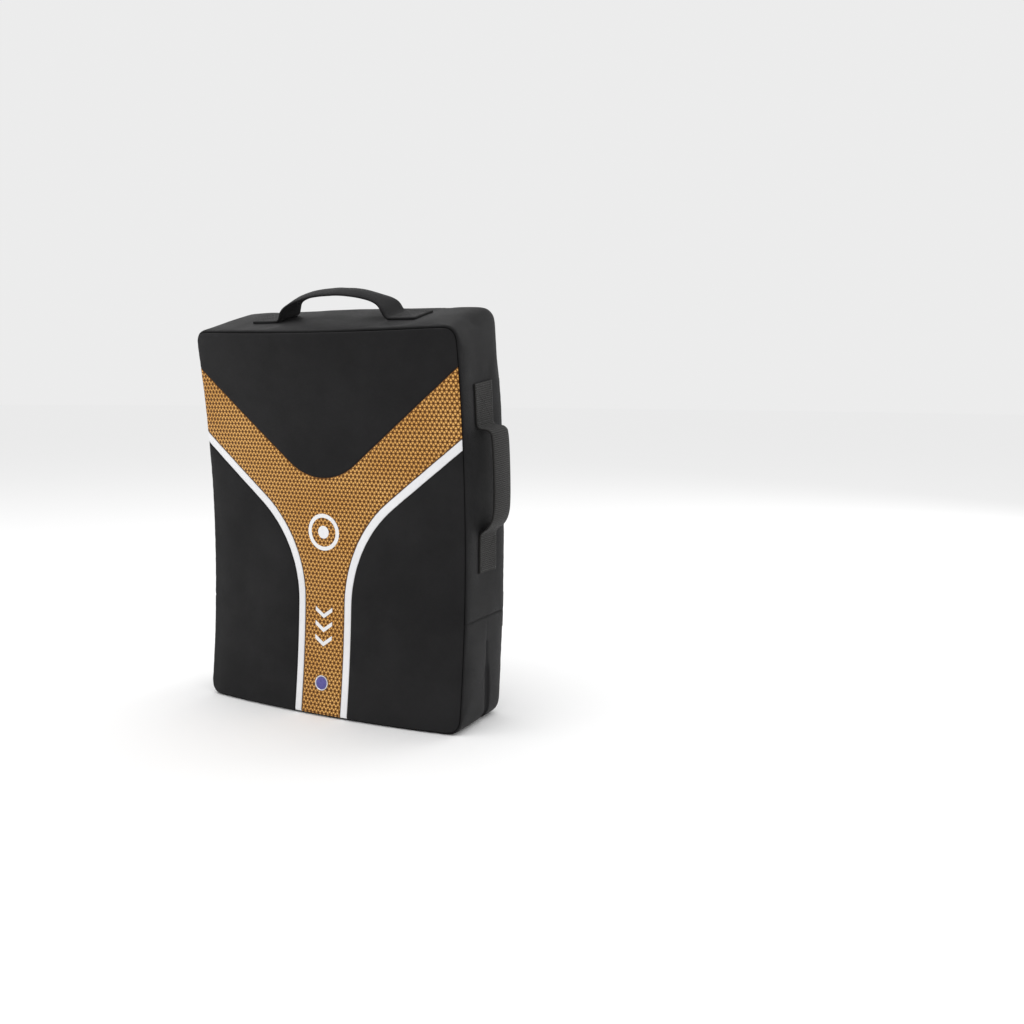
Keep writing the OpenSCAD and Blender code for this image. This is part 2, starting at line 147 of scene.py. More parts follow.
def grain_group():
    """fine pebbled grain of coated leather, with the odd soft crease"""
    t, gi, go = new_group("hide_grain", [("Vector", VEC, None), ("Scale", FLOAT, 900.0), ("Crease", FLOAT, 0.3)],
                          [("Height", FLOAT), ("Tone", FLOAT)])
    cell = put(t, "ShaderNodeTexVoronoi", {"Vector": gi.outputs[0], "Scale": gi.outputs[1]},
               feature="DISTANCE_TO_EDGE")
    pebble = between(t, cell.outputs["Distance"], 0.0, 0.22)
    speck = put(t, "ShaderNodeTexNoise",
                {"Vector": gi.outputs[0], "Scale": times(t, gi.outputs[1], 2.2), "Detail": 2.0})
    slow = put(t, "ShaderNodeTexNoise",
               {"Vector": gi.outputs[0], "Scale": 34.0, "Detail": 4.0, "Roughness": 0.55, "Distortion": 0.4})
    crease = times(t, between(t, slow.outputs[0], 0.3, 0.72), gi.outputs[2])
    h = plus(t, times(t, pebble, 0.55), times(t, speck.outputs[0], 0.3))
    t.links.new(plus(t, h, crease), go.inputs[0])
    t.links.new(plus(t, times(t, pebble, 0.45), times(t, slow.outputs[0], 0.55)), go.inputs[1])
    return t


def webbing_group():
    """heavy webbing: ribs across the strap, each crossed by alternating threads, with a firm selvedge"""
    t, gi, go = new_group("ribbed_webbing", [("Vector", VEC, None), ("Length", FLOAT, 200.0), ("Width", FLOAT, 50.0),
                                             ("Rib", FLOAT, 2.6)], [("Height", FLOAT), ("Tone", FLOAT)])
    xy = put(t, "ShaderNodeSeparateXYZ", {0: gi.outputs[0]})
    along = calc(t, "DIVIDE", times(t, xy.outputs[1], gi.outputs[1]), gi.outputs[3])
    wide = times(t, xy.outputs[0], gi.outputs[2])
    rib = calc(t, "ABSOLUTE", calc(t, "SINE", times(t, along, math.pi)))
    turn = times(t, calc(t, "FLOOR", along), 0.5)
    thread = calc(t, "ABSOLUTE", calc(t, "SINE", times(t, plus(t, calc(t, "DIVIDE", wide, 1.5), turn), math.pi)))
    edge = calc(t, "MINIMUM", wide, calc(t, "SUBTRACT", gi.outputs[2], wide))
    selvedge = between(t, edge, 1.2, 2.6)
    fuzz = put(t, "ShaderNodeTexNoise", {"Vector": gi.outputs[0], "Scale": 260.0, "Detail": 3.0})
    body = plus(t, times(t, rib, 0.62), times(t, times(t, rib, thread), 0.3))
    h = plus(t, times(t, body, plus(t, times(t, selvedge, 0.6), 0.4)), times(t, fuzz.outputs[0], 0.16))
    t.links.new(h, go.inputs[0])
    t.links.new(h, go.inputs[1])
    return t


def scuff_group():
    """slow change of tone and polish from handling, with a few faint rubs"""
    t, gi, go = new_group("handling", [("Vector", VEC, None), ("Scale", FLOAT, 9.0)],
                          [("Tone", FLOAT), ("Rub", FLOAT)])
    slow = put(t, "ShaderNodeTexNoise",
               {"Vector": gi.outputs[0], "Scale": gi.outputs[1], "Detail": 5.0, "Roughness": 0.6})
    rubs = put(t, "ShaderNodeTexNoise", {"Vector": gi.outputs[0], "Scale": times(t, gi.outputs[1], 5.0),
                                         "Detail": 6.0, "Roughness": 0.7, "Distortion": 1.2})
    t.links.new(between(t, slow.outputs[0], 0.3, 0.7), go.inputs[0])
    t.links.new(between(t, rubs.outputs[0], 0.58, 0.76), go.inputs[1])
    return t


GRAIN, WEAVE, HANDLING = grain_group(), webbing_group(), scuff_group()


def use(tree, group, links):
    n = put(tree, "ShaderNodeGroup", node_tree=group)
    for key, value in links.items():
        if isinstance(value, bpy.types.NodeSocket):
            tree.links.new(value, n.inputs[key])
        else:
            n.inputs[key].default_value = value
    return n


def shade(tree, fac, dark, light):
    m = put(tree, "ShaderNodeMix", data_type="RGBA")
    tree.links.new(fac, m.inputs[0])
    m.inputs[6].default_value = (*dark, 1)
    m.inputs[7].default_value = (*light, 1)
    return m.outputs[2]


def finish(name, **sockets):
    m = bpy.data.materials.new(name)
    m.use_nodes = True
    t = m.node_tree
    b = t.nodes["Principled BSDF"]
    for key, value in sockets.items():
        b.inputs[key.replace("_", " ")].default_value = value
    return m, t, b, put(t, "ShaderNodeTexCoord").outputs


def relief(t, b, height, strength, distance):
    bump = put(t, "ShaderNodeBump", {"Strength": strength, "Distance": distance, "Height": height})
    t.links.new(bump.outputs[0], b.inputs["Normal"])


def leather(name, dark, light, rough=(0.5, 0.62), scale=900.0, crease=0.3, depth=0.00022, seams=True, sheen=0.02,
            line=None, gloss=0.09):
    m, t, b, where = finish(name, Specular_IOR_Level=gloss, Sheen_Weight=sheen, Sheen_Roughness=0.45)
    g = use(t, GRAIN, {"Vector": where["Object"], "Scale": scale, "Crease": crease})
    w = use(t, HANDLING, {"Vector": where["Object"], "Scale": 8.0})
    tone = plus(t, times(t, g.outputs["Tone"], 0.55), times(t, w.outputs["Tone"], 0.45))
    if seams:
        # painted shade: within 3 mm of each pulled-in seam the tone falls to a quarter, darkening the seam grooves
        near = put(t, "ShaderNodeAttribute", attribute_name="seam")
        tone = times(t, tone, between(t, near.outputs["Fac"], 0.0, 3.0, 0.25, 1.0))
    tone = plus(t, tone, times(t, w.outputs["Rub"], 0.25))
    colour = shade(t, tone, dark, light)
    # painted shade: where a line colour is given, a near-black line is drawn right along each seam groove
    if line:
        border = put(t, "ShaderNodeMix", {0: between(t, near.outputs["Fac"], 0.35, 1.1)}, data_type="RGBA")
        border.inputs[6].default_value = (*line, 1)
        t.links.new(colour, border.inputs[7])
        colour = border.outputs[2]
    t.links.new(colour, b.inputs["Base Color"])
    worn = calc(t, "SUBTRACT", tone, times(t, w.outputs["Rub"], 0.5))
    t.links.new(between(t, worn, 0.1, 0.9, rough[1], rough[0]), b.inputs["Roughness"])
    relief(t, b, g.outputs["Height"], 0.5, depth)
    return m


def gold_leather():
    """gold foil leather printed with a lattice of small triangles and dots"""
    m, t, b, where = finish("gold_leather", Specular_IOR_Level=0.16, Sheen_Weight=0.0, Coat_Weight=0.03,
                            Coat_Roughness=0.35)
    pitch = 0.00648
    row = pitch * math.sqrt(3) / 2
    xyz = put(t, "ShaderNodeSeparateXYZ", {0: where["Object"]})
    x, z = xyz.outputs[0], xyz.outputs[2]

    def off(cx, cz):
        c = plus(t, times(t, x, cx / row), times(t, z, cz / row))
        return calc(t, "SUBTRACT", c, calc(t, "ROUND", c))

    s = math.sqrt(3) / 2
    a, c, d = off(0.0, 1.0), off(s, 0.5), off(-s, 0.5)
    near_a, near_c, near_d = (calc(t, "ABSOLUTE", way) for way in (a, c, d))
    lines = calc(t, "MINIMUM", calc(t, "MINIMUM", near_a, near_c), near_d)
    # distance from the nearest crossing, in rows
    dot2 = calc(t, "SUBTRACT", plus(t, times(t, a, a), times(t, c, c)), times(t, a, c))
    dot = calc(t, "SQRT", calc(t, "MAXIMUM", times(t, dot2, 4.0 / 3.0), 0.0))
    line_mask = between(t, lines, 0.02, 0.25)
    dot_mask = between(t, dot, 0.2, 0.5)
    light = times(t, plus(t, times(t, line_mask, 0.86), 0.14), dot_mask)
    g = use(t, GRAIN, {"Vector": where["Object"], "Scale": 1300.0, "Crease": 0.15})
    w = use(t, HANDLING, {"Vector": where["Object"], "Scale": 10.0})
    # painted shade: right beside each pulled-in seam the light print fades to the dark print colour, darkening the
    # seam grooves
    near = put(t, "ShaderNodeAttribute", attribute_name="seam")
    light = times(t, light, between(t, near.outputs["Fac"], 0.3, 1.7, 0.04, 1.0))
    tone = plus(t, times(t, g.outputs["Tone"], 0.5), times(t, w.outputs["Tone"], 0.5))
    gold = shade(t, tone, (0.66, 0.31, 0.065), (0.95, 0.54, 0.17))
    mix = put(t, "ShaderNodeMix", {0: light}, data_type="RGBA")
    mix.inputs[6].default_value = (0.1, 0.034, 0.004, 1)
    t.links.new(gold, mix.inputs[7])
    t.links.new(mix.outputs[2], b.inputs["Base Color"])
    t.links.new(between(t, light, 0.0, 1.0, 0.62, 0.4), b.inputs["Roughness"])
    t.links.new(times(t, light, 0.25), b.inputs["Metallic"])
    relief(t, b, plus(t, times(t, light, 0.9), times(t, g.outputs["Height"], 0.35)), 0.45, 0.00025)
    return m


def webbing(name, length, width=50.0, rib=2.6, dark=(0.0035, 0.0032, 0.003), light=(0.021, 0.0195, 0.018)):
    m, t, b, where = finish(name, Specular_IOR_Level=0.2, Sheen_Weight=0.08, Sheen_Roughness=0.5)
    g = use(t, WEAVE, {"Vector": where["UV"], "Length": length, "Width": width, "Rib": rib})
    w = use(t, HANDLING, {"Vector": where["Object"], "Scale": 14.0})
    tone = times(t, g.outputs["Tone"], plus(t, times(t, w.outputs["Tone"], 0.35), 0.75))
    t.links.new(shade(t, tone, dark, light), b.inputs["Base Color"])
    t.links.new(between(t, g.outputs["Tone"], 0.0, 1.0, 0.9, 0.66), b.inputs["Roughness"])
    relief(t, b, g.outputs["Height"], 0.8, 0.0007)
    return m


def metal(name, base, rough, metallic=1.0):
    m, t, b, where = finish(name, Metallic=metallic)
    w = use(t, HANDLING, {"Vector": where["Object"], "Scale": 120.0})
    fine = put(t, "ShaderNodeTexNoise", {"Vector": where["Object"], "Scale": 1600.0, "Detail": 4.0})
    t.links.new(shade(t, w.outputs["Tone"], tuple(c * 0.78 for c in base), base), b.inputs["Base Color"])
    worn = plus(t, w.outputs["Rub"], times(t, fine.outputs[0], 0.5))
    t.links.new(between(t, worn, 0.1, 1.2, rough, rough + 0.22), b.inputs["Roughness"])
    relief(t, b, fine.outputs[0], 0.1, 0.00005)
    return m


def cloth(name, dark, light, scale, depth=0.0002):
    """close plain weave or thread"""
    m, t, b, where = finish(name, Specular_IOR_Level=0.3, Sheen_Weight=0.3)
    n = put(t, "ShaderNodeTexVoronoi", {"Vector": where["Object"], "Scale": scale})
    f = put(t, "ShaderNodeTexNoise", {"Vector": where["Object"], "Scale": scale * 0.15, "Detail": 3.0})
    tone = plus(t, times(t, n.outputs["Distance"], 0.7), times(t, f.outputs[0], 0.4))
    t.links.new(shade(t, tone, dark, light), b.inputs["Base Color"])
    t.links.new(between(t, tone, 0.0, 1.0, 0.7, 0.92), b.inputs["Roughness"])
    relief(t, b, n.outputs["Distance"], 0.6, depth)
    return m


BLACK = leather("black_leather", (0.0085, 0.0083, 0.0087), (0.019, 0.0186, 0.0194))
WHITE = leather("white_leather", (0.74, 0.74, 0.76), (0.9, 0.9, 0.91), rough=(0.42, 0.55), crease=0.1,
                depth=0.00012, sheen=0.0, line=(0.05, 0.045, 0.04), gloss=0.3)
GOLD = gold_leather()
# near-black finish for the cords in the seams: painted shade of the seam grooves
SEAM_SHADE = leather("seam_shadow", (0.0015, 0.0015, 0.0015), (0.004, 0.004, 0.004), rough=(0.8, 0.9), seams=False,
                 sheen=0.0, gloss=0.02)
HANDLE = leather("handle_leather", (0.0085, 0.0083, 0.0087), (0.02, 0.0196, 0.0205), rough=(0.52, 0.68),
                 scale=1500.0, crease=0.25, depth=0.0003, seams=False, sheen=0.05)
PRINT = leather("white_print", (0.78, 0.78, 0.79), (0.92, 0.92, 0.93), rough=(0.36, 0.5), scale=1200.0,
                crease=0.05, depth=0.00008, seams=False, sheen=0.0)
THREAD = cloth("black_thread", (0.008, 0.008, 0.008), (0.03, 0.03, 0.03), 5200.0, 0.00012)
TAPE = cloth("zip_cloth", (0.008, 0.008, 0.009), (0.026, 0.026, 0.028), 1900.0)
FOAM = cloth("foam", (0.1, 0.105, 0.12), (0.2, 0.21, 0.24), 700.0, 0.0004)
COIL = cloth("zip_nylon", (0.01, 0.01, 0.011), (0.03, 0.03, 0.032), 900.0, 0.0001)
SILVER = metal("polished_rivet", (0.82, 0.82, 0.84), 0.16)
STEEL = metal("plain_washer", (0.5, 0.5, 0.52), 0.35)
ZIP_METAL = metal("dark_zip_metal", (0.14, 0.14, 0.15), 0.34)
BADGE_RIM = metal("badge_rim", (0.72, 0.72, 0.76), 0.2)
BADGE_FACE = metal("badge_face", (0.13, 0.12, 0.36), 0.3, 0.7)


# ---- making meshes
def pick_nothing():
    for o in bpy.context.selected_objects:
        o.select_set(False)
    bpy.context.view_layer.objects.active = None


def pick(*objects):
    pick_nothing()
    for o in objects:
        o.select_set(True)
    bpy.context.view_layer.objects.active = objects[-1]


def settle(o, name, material):
    """name it, give it its finish, and turn millimetres into metres"""
    o.name = name
    o.data.name = name
    for v in o.data.vertices:
        v.co = v.co * 0.001
    if material:
        o.data.materials.clear()
        o.data.materials.append(material)
    return o


def add_modifier(o, kind, **props):
    pick(o)
    m = o.modifiers.new(kind.title(), kind)
    for key, value in props.items():
        setattr(m, key, value)
    bpy.ops.object.modifier_apply(modifier=m.name)


def even_smooth(o, angle=40):
    pick(o)
    bpy.ops.object.shade_smooth_by_angle(angle=math.radians(angle))


def new_grid(across, up, size=2):
    pick_nothing()
    bpy.ops.mesh.primitive_grid_add(x_subdivisions=across, y_subdivisions=up, size=size)
    return bpy.context.object


def build(bm, name, material, angle=60, mend=True):
    """a new piece from the mesh being made"""
    if mend:
        bmesh.ops.recalc_face_normals(bm, faces=bm.faces)
    me = bpy.data.meshes.new(name)
    bm.to_mesh(me)
    bm.free()
    o = bpy.data.objects.new(name, me)
    bpy.context.collection.objects.link(o)
    settle(o, name, material)
    even_smooth(o, angle)
    return o


def loft(bm, rings, caps=True):
    """walls from each ring of points to the next, and a cap at each end"""
    n = len(rings[0])
    for r0, r1 in zip(rings, rings[1:]):
        for k in range(n):
            bm.faces.new((r0[k], r0[(k + 1) % n], r1[(k + 1) % n], r1[k]))
    if caps:
        bm.faces.new(rings[0])
        bm.faces.new(rings[-1])


def spaced(length, step, edge=(0, 1.8, 3.8, 6.4, 9.6, 14)):
    n = max(1, round((length - 2 * edge[-1]) / step))
    mid = [edge[-1] + (length - 2 * edge[-1]) * i / n for i in range(1, n)]
    return list(edge) + mid + [length - e for e in reversed(edge)]


def spokes(count, start=0.0):
    """the cosine and sine of each spoke round a circle"""
    return [(math.cos(k * math.tau / count + start), math.sin(k * math.tau / count + start)) for k in range(count)]


def grid_block(across, up, deep):
    """a closed block of numbered rows: a sheet, its rim drawn out, and a second sheet to close it"""
    o = new_grid(across, up, 1)
    bpy.ops.object.mode_set(mode="EDIT")
    bpy.ops.mesh.select_all(action="SELECT")
    bpy.ops.mesh.region_to_loop()
    for _ in range(deep):
        bpy.ops.mesh.extrude_region_move(TRANSFORM_OT_translate={"value": (0, 0, 1 / deep)})
    bpy.ops.mesh.primitive_grid_add(x_subdivisions=across, y_subdivisions=up, size=1, location=(0, 0, 1))
    bpy.ops.mesh.select_all(action="SELECT")
    bpy.ops.mesh.remove_doubles(threshold=0.1 / max(across, up, deep))
    bpy.ops.mesh.normals_make_consistent(inside=False)
    bpy.ops.object.mode_set(mode="OBJECT")
    return o


def fold_in(x, z, d, w, h, near, far, roll_near, roll_far, corner=CORNER):
    """a place on the square block moved on to the rounded body"""
    s = min(w - abs(x), z, h - z)
    qx = max(corner - w, min(w - corner, x))
    qz = max(corner, min(h - corner, z))
    dx, dz = x - qx, z - qz
    if dx and dz:
        k = max(abs(dx), abs(dz)) / math.hypot(dx, dz)
        dx, dz = dx * k, dz * k
    x, z = qx + dx, qz + dz
    size = math.hypot(dx, dz)
    front = d - near < far - d
    roll = roll_near if front else roll_far(z)
    dd = d - near if front else far - d
    if size and s < roll and dd < roll:
        a, b = roll - s, roll - dd
        k = max(a, b) / math.hypot(a, b)
        s2, dd = roll - a * k, roll - b * k
        x -= dx / size * (s2 - s)
        z -= dz / size * (s2 - s)
        d = near + dd if front else far - dd
    return Vector((x, skin_y(x, z, d), z))


def body_block(step, inset, near, far, roll_near, roll_far):
    """the shield's body, or a layer of it, between two depths"""
    xs = spaced(2 * (HALF - inset), step)
    zs = spaced(560.0, step)
    ds = spaced(far - near, step, (0, 1.8, 3.8, 6.4, 9.6, 14) if far - near > 60 else (0, 2.5, 6))
    last = [len(row) - 1 for row in (xs, zs, ds)]
    o = grid_block(*last)
    where = o.data.attributes.new("panel", "INT", "FACE")
    idx = [(round((v.co.x + 0.5) * last[0]), round((v.co.y + 0.5) * last[1]), round(v.co.z * last[2]))
           for v in o.data.vertices]
    for p in o.data.polygons:
        js = {idx[i][2] for i in p.vertices}
        where.data[p.index].value = 0 if js == {0} else 1 if js == {last[2]} else 2
    for v, (i, k, j) in zip(o.data.vertices, idx):
        d = near + ds[j]
        x = xs[i] - (HALF - inset)
        h = top_z(x, d) - 2 * inset
        p = fold_in(x, zs[k] / 560.0 * h, d, HALF - inset, h, near, far, roll_near, roll_far)
        v.co = (p.x, skin_y(p.x, p.z + inset, d) + (p.y - skin_y(p.x, p.z, d)), p.z + inset)
    o.data.flip_normals()
    o.data.update()
    return o


# ---- lines of the striking face
def vee_field(x, z):
    """distance above the edge of the upper black panel"""
    rise = ARM_RISE * 1.03
    turn = math.atan(rise)
    tip = 492 - rise * HALF
    r = 84.0
    foot = tip + r / math.cos(turn)
    x = abs(x)
    f = (z - tip - rise * x) * math.cos(turn)
    if x + f * math.sin(turn) < r * math.sin(turn):
        return r - math.hypot(x, z - foot) if z < foot else f
    return f


def stem_field(half_stem, side_z, r):
    """distance inside the zone beside the stem and under an arm"""
    turn = math.atan(ARM_RISE)
    cx = half_stem + r
    tx = cx - r * math.sin(turn)
    reach = side_z - ARM_RISE * (HALF - tx)
    cz = reach - r * math.cos(turn)

    def field(x, z):
        x = abs(x)
        if z < cz:
            return x - half_stem
        f = (reach + ARM_RISE * (x - tx) - z) * math.cos(turn)
        if x - f * math.sin(turn) >= tx:
            return f
        return r - math.hypot(x - cx, z - cz)
    return field


gold_field = stem_field(33.0, 400.0, 190.0)
stripe_field = stem_field(45.0, 384.0, 180.0)


def score(bm, field, level, wanted):
    """a chain of new edges where a field takes a value, on the faces that are wanted"""
    value = {}
    for v in bm.verts:
        f = field(v.co) - level
        inner = all(wanted(q) for q in v.link_faces)
        if inner and abs(f) < 0.7:
            e = 0.05
            gx = (field(v.co + Vector((e, 0, 0))) - f - level) / e
            gy = (field(v.co + Vector((0, e, 0))) - f - level) / e
            gz = (field(v.co + Vector((0, 0, e))) - f - level) / e
            g = gx * gx + gy * gy + gz * gz
            if g > 0.3:
                v.co -= Vector((gx, gy, gz)) * (f / g)
            f = 0.0
        value[v] = 0.0 if abs(f) < 0.02 else f
    for e in list(bm.edges):
        if any(wanted(q) for q in e.link_faces):
            a, b = e.verts
            fa, fb = value[a], value[b]
            if fa * fb < 0:
                _, v = bmesh.utils.edge_split(e, a, fa / (fa - fb))
                value[v] = 0.0
    for f in list(bm.faces):
        if wanted(f):
            on = [v for v in f.verts if value.get(v, 1) == 0.0]
            if len(on) == 2 and not bm.edges.get(on):
                bmesh.utils.face_split(f, on[0], on[1])


def rear_roll(z):
    return 10.0 + 6.0 * smooth(430, 540, z)


def body_form():
    """the whole sewn body as one closed form, scored along each seam"""
    o = body_block(7.4, 0.0, 0.0, DEPTH, 6.4, rear_roll)
    bm = bmesh.new()
    bm.from_mesh(o.data)
    kind = bm.faces.layers.int["panel"]

    def on_face(f):
        return f[kind] == 0

    for field in (vee_field, gold_field, stripe_field):
        for level in (-1.8, 0.0, 1.8):
            score(bm, lambda c, fl=field: fl(c.x, c.z), level, on_face)
    for level in (-1.8, 0.0, 1.8):
        score(bm, lambda c: c.z - GUSSET_Z, level, lambda f: f[kind] == 2)
    for level in (-5.0, -2.0, 0.0, 2.0, 5.0):
        score(bm, lambda c: c.y - ZIP_Y, level, lambda f: f[kind] == 2 and f.calc_center_median().z < GUSSET_Z)
    for f in bm.faces:
        c = f.calc_center_median()
        if f[kind] == 0:
            if vee_field(c.x, c.z) > 0:
                f[kind] = 0
            elif gold_field(c.x, c.z) < 0:
                f[kind] = 3
            elif stripe_field(c.x, c.z) < 0:
                f[kind] = 4 if c.x < 0 else 5
            else:
                f[kind] = 6 if c.x < 0 else 7
        elif f[kind] == 2:
            f[kind] = 2 if c.z > GUSSET_Z else 8 if c.y < ZIP_Y else 9
    bm.to_mesh(o.data)
    bm.free()
    o.name = "body_form"
    return o


def seam_edges(bm, kind):
    for e in bm.edges:
        if len(e.link_faces) == 2 and e.link_faces[0][kind] != e.link_faces[1][kind]:
            yield e, frozenset((e.link_faces[0][kind], e.link_faces[1][kind]))


def swell(o):
    """the pad fills its cover: fabric swells between the seams, webbing and plates that hold it down"""
    rest = [v.co.copy() for v in o.data.vertices]
    bm = bmesh.new()
    bm.from_mesh(o.data)
    kind = bm.faces.layers.int["panel"]
    held = set()
    for e, pair in seam_edges(bm, kind):
        if pair == {1, 2} and e.verts[0].co.z > SEAM_TOP - 6:
            continue
        held.update(v.index for v in e.verts)
    cap = []
    for v in bm.verts:
        c = v.co
        kinds = {f[kind] for f in v.link_faces}
        back, front = kinds <= {1}, not kinds & {1, 2, 8, 9}
        if back and any(z0 - 2 < c.z < z1 + 2 for z0, z1 in (UPPER_BAND, LOWER_BAND)):
            held.add(v.index)
        if back and abs(abs(c.x) - 110) < 24 and abs(c.z - 485) < 40:
            held.add(v.index)
        if c.z < 1.5:
            held.add(v.index)
        mid = AXIS_Y + math.sqrt((BEND + 60) ** 2 - (c.z - BEND_Z) ** 2)
        if abs(c.x) > HALF - 1 and abs(c.y - mid) < 26 and (210 < c.z < 272 or 408 < c.z < 476):
            held.add(v.index)
        if c.z > 500 and 2 in kinds and 84 < abs(c.x) < 141:
            held.add(v.index)
        if front:
            cap.append(1.6)
            if min(abs(vee_field(c.x, c.z)), abs(gold_field(c.x, c.z)), abs(stripe_field(c.x, c.z))) < 2.2:
                held.add(v.index)
        else:
            cap.append(2.2 if back else 3.2)
    bm.free()
    pad = o.copy()
    pad.data = o.data.copy()
    bpy.context.collection.objects.link(pad)
    for v in pad.data.vertices:
        v.co = v.co * 0.001
    g = pad.vertex_groups.new(name="held")
    g.add(sorted(held), 1.0, "REPLACE")
    m = pad.modifiers.new("Cloth", "CLOTH")
    s = m.settings
    s.quality = 6
    s.mass = 0.25
    s.tension_stiffness = s.compression_stiffness = 18
    s.shear_stiffness = 8
    s.bending_stiffness = 1.2
    s.use_pressure = True
    s.uniform_pressure_force = 4.0
    s.vertex_group_mass = "held"
    s.effector_weights.gravity = 0
    m.collision_settings.use_collision = False
    sc = bpy.context.scene
    m.point_cache.frame_start, m.point_cache.frame_end = 1, 20
    for f in range(1, 21):
        sc.frame_set(f)
    e = pad.evaluated_get(bpy.context.evaluated_depsgraph_get())
    moved = [v.co * 1000 for v in e.data.vertices]
    sc.frame_set(1)
    bpy.data.objects.remove(pad)
    far = 0.0
    for v, r, p, most in zip(o.data.vertices, rest, moved, cap):
        d = p - r
        far = max(far, d.length)
        if v.index in held or d.length < 1e-6:
            continue
        v.co = r + d.normalized() * (most * math.tanh(d.length / most))
    print("swell: furthest move %.1f mm" % far)


def sew(o):
    """draw the fabric in along each seam, with small puckers beside it"""
    bm = bmesh.new()
    bm.from_mesh(o.data)
    bm.normal_update()
    kind = bm.faces.layers.int["panel"]
    marks = []
    for e, pair in seam_edges(bm, kind):
        a, b = e.verts[0].co, e.verts[1].co
        z = (a.z + b.z) / 2
        if pair == {8, 9}:
            deep = 0.0
        elif pair == {1, 2}:
            deep = 1.7 * (1 - smooth(SEAM_TOP - 40, SEAM_TOP, z))
        elif pair & {3, 4, 5} and not pair & {1, 2, 8, 9}:
            deep = 0.75
        elif pair & {8, 9} and 2 in pair:
            deep = 1.2
        else:
            deep = 1.9
        n = max(1, int((b - a).length / 1.0))
        for i in range(n + 1):
            marks.append((a.lerp(b, i / n), deep))
    tree = kdtree.KDTree(len(marks))
    for i, (c, _) in enumerate(marks):
        tree.insert(c, i)
    tree.balance()
    # distance to the nearest pulled-in seam; the leather and gold finishes paint shade into the seam grooves from it
    store = bm.verts.layers.float.new("seam")
    shift = {}
    for v in bm.verts:
        _, i, dist = tree.find(v.co)
        deep = marks[i][1]
        v[store] = dist if deep > 0.3 else 9.0
        pucker = noise.noise(v.co * (1 / 8.5)) * 0.5 * math.exp(-dist / 9) * min(1.0, dist / 2.5) * (deep / 1.9)
        broad = noise.noise(v.co * (1 / 42) + Vector((7, 3, 1))) * 0.55 + noise.noise(v.co * (1 / 95)) * 0.5
        if v.co.z < 2:
            broad = pucker = 0
        held = smooth(0, 14, dist)
        shift[v] = v.normal * (pucker + broad * held - deep * math.exp(-(dist / 1.35) ** 2))
    for v, s in shift.items():
        c = v.co
        # the slit over the zip
        if abs(c.y - ZIP_Y) < 9 and c.z < ZIP_TOP + 26 and (c.z < 6 or abs(c.x) > HALF - 30):
            gap = 5.2 * (1 - smooth(ZIP_TOP - 20, ZIP_TOP + 6, c.z))
            t = max(0.0, 1 - abs(c.y - ZIP_Y) / 9)
            side = 1 if any(f[kind] == 9 for f in v.link_faces) else -1
            if abs(c.y - ZIP_Y) > 0.3:
                v.co.y += math.copysign(gap, c.y - ZIP_Y) * t
            s = s - v.normal * (1.2 + 1.6 * gap / 5.2) * t ** 3
        v.co += s
        v.co.z = max(v.co.z, 0.0)
    bm.to_mesh(o.data)
    bm.free()


form = body_form()
swell(form)
add_modifier(form, "SUBSURF", levels=1, render_levels=1)
sew(form)

NAMES = {0: "vee_cover", 2: "rear_cover", 3: "gold_cover", 4: "stripe_cover_left", 5: "stripe_cover_right",
         6: "flank_cover_left", 7: "flank_cover_right", 8: "base_cover_front", 9: "base_cover_rear"}
FINISHES = {0: BLACK, 2: BLACK, 3: GOLD, 4: WHITE, 5: WHITE, 6: BLACK, 7: BLACK, 8: BLACK, 9: BLACK}
STANDS_FOR = {0: ["vee_panel"], 2: ["upper_gusset", "back_panel"], 3: ["gold_panel"], 4: ["stripe_left"],
              5: ["stripe_right"], 6: ["flank_left"], 7: ["flank_right"], 8: ["lower_gusset_front"],
              9: ["lower_gusset_rear"]}
SLOTS = {3: "gold_cover", 4: "white_cover", 5: "white_cover"}

body = bmesh.new()
body.from_mesh(form.data)
surface = BVHTree.FromBMesh(body)


def cast(origin, way):
    hit = surface.ray_cast(Vector(origin), Vector(way), 400)[0]
    return hit


def back_at(x, z):
    h = cast((x, 300, z), (0, -1, 0))
    return h.y if h else skin_y(x, z, DEPTH)


def face_at(x, z):
    h = cast((x, -300, z), (0, 1, 0))
    return h.y if h else skin_y(x, z, 0)


def side_at(y, z, side):
    h = cast((side * 400, y, z), (-side, 0, 0))
    return h.x if h else side * HALF


def outside_line(pair, keep=lambda c: True):
    """the points of a seam in order, each with its outward normal"""
    kind = body.faces.layers.int["panel"]
    body.normal_update()
    links, normals = {}, {}
    for e, p in seam_edges(body, kind):
        if pair(p) and keep((e.verts[0].co + e.verts[1].co) / 2):
            for a, b in (e.verts, reversed(e.verts)):
                links.setdefault(a.index, []).append(b.index)
            for v in e.verts:
                normals[v.index] = (v.co.copy(), v.normal.copy())
    start = next((i for i, n in links.items() if len(n) == 1), next(iter(links)))
    order, last = [start], None
    while True:
        nxt = [i for i in links[order[-1]] if i != last and i not in order[1:]]
        if not nxt or (nxt[0] == start and len(order) < 3):
            break
        last = order[-1]
        if nxt[0] == start:
            break
        order.append(nxt[0])
    closed = len(links[start]) == 2
    return [normals[i] for i in order], closed


for kind_id, name in NAMES.items():
    piece = form.copy()
    piece.data = form.data.copy()
    bpy.context.collection.objects.link(piece)
    bm = bmesh.new()
    bm.from_mesh(piece.data)
    layer = bm.faces.layers.int["panel"]
    keep = {2, 1} if kind_id == 2 else {kind_id}
    bmesh.ops.delete(bm, geom=[f for f in bm.faces if f[layer] not in keep], context="FACES")
    bm.to_mesh(piece.data)
    bm.free()
    settle(piece, name, FINISHES[kind_id])
    add_modifier(piece, "SOLIDIFY", thickness=0.0013, offset=-1.0)
    even_smooth(piece, 60)
    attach(piece, "shield")
    SLOTS.get(kind_id, "black_cover")
    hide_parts(*STANDS_FOR[kind_id])


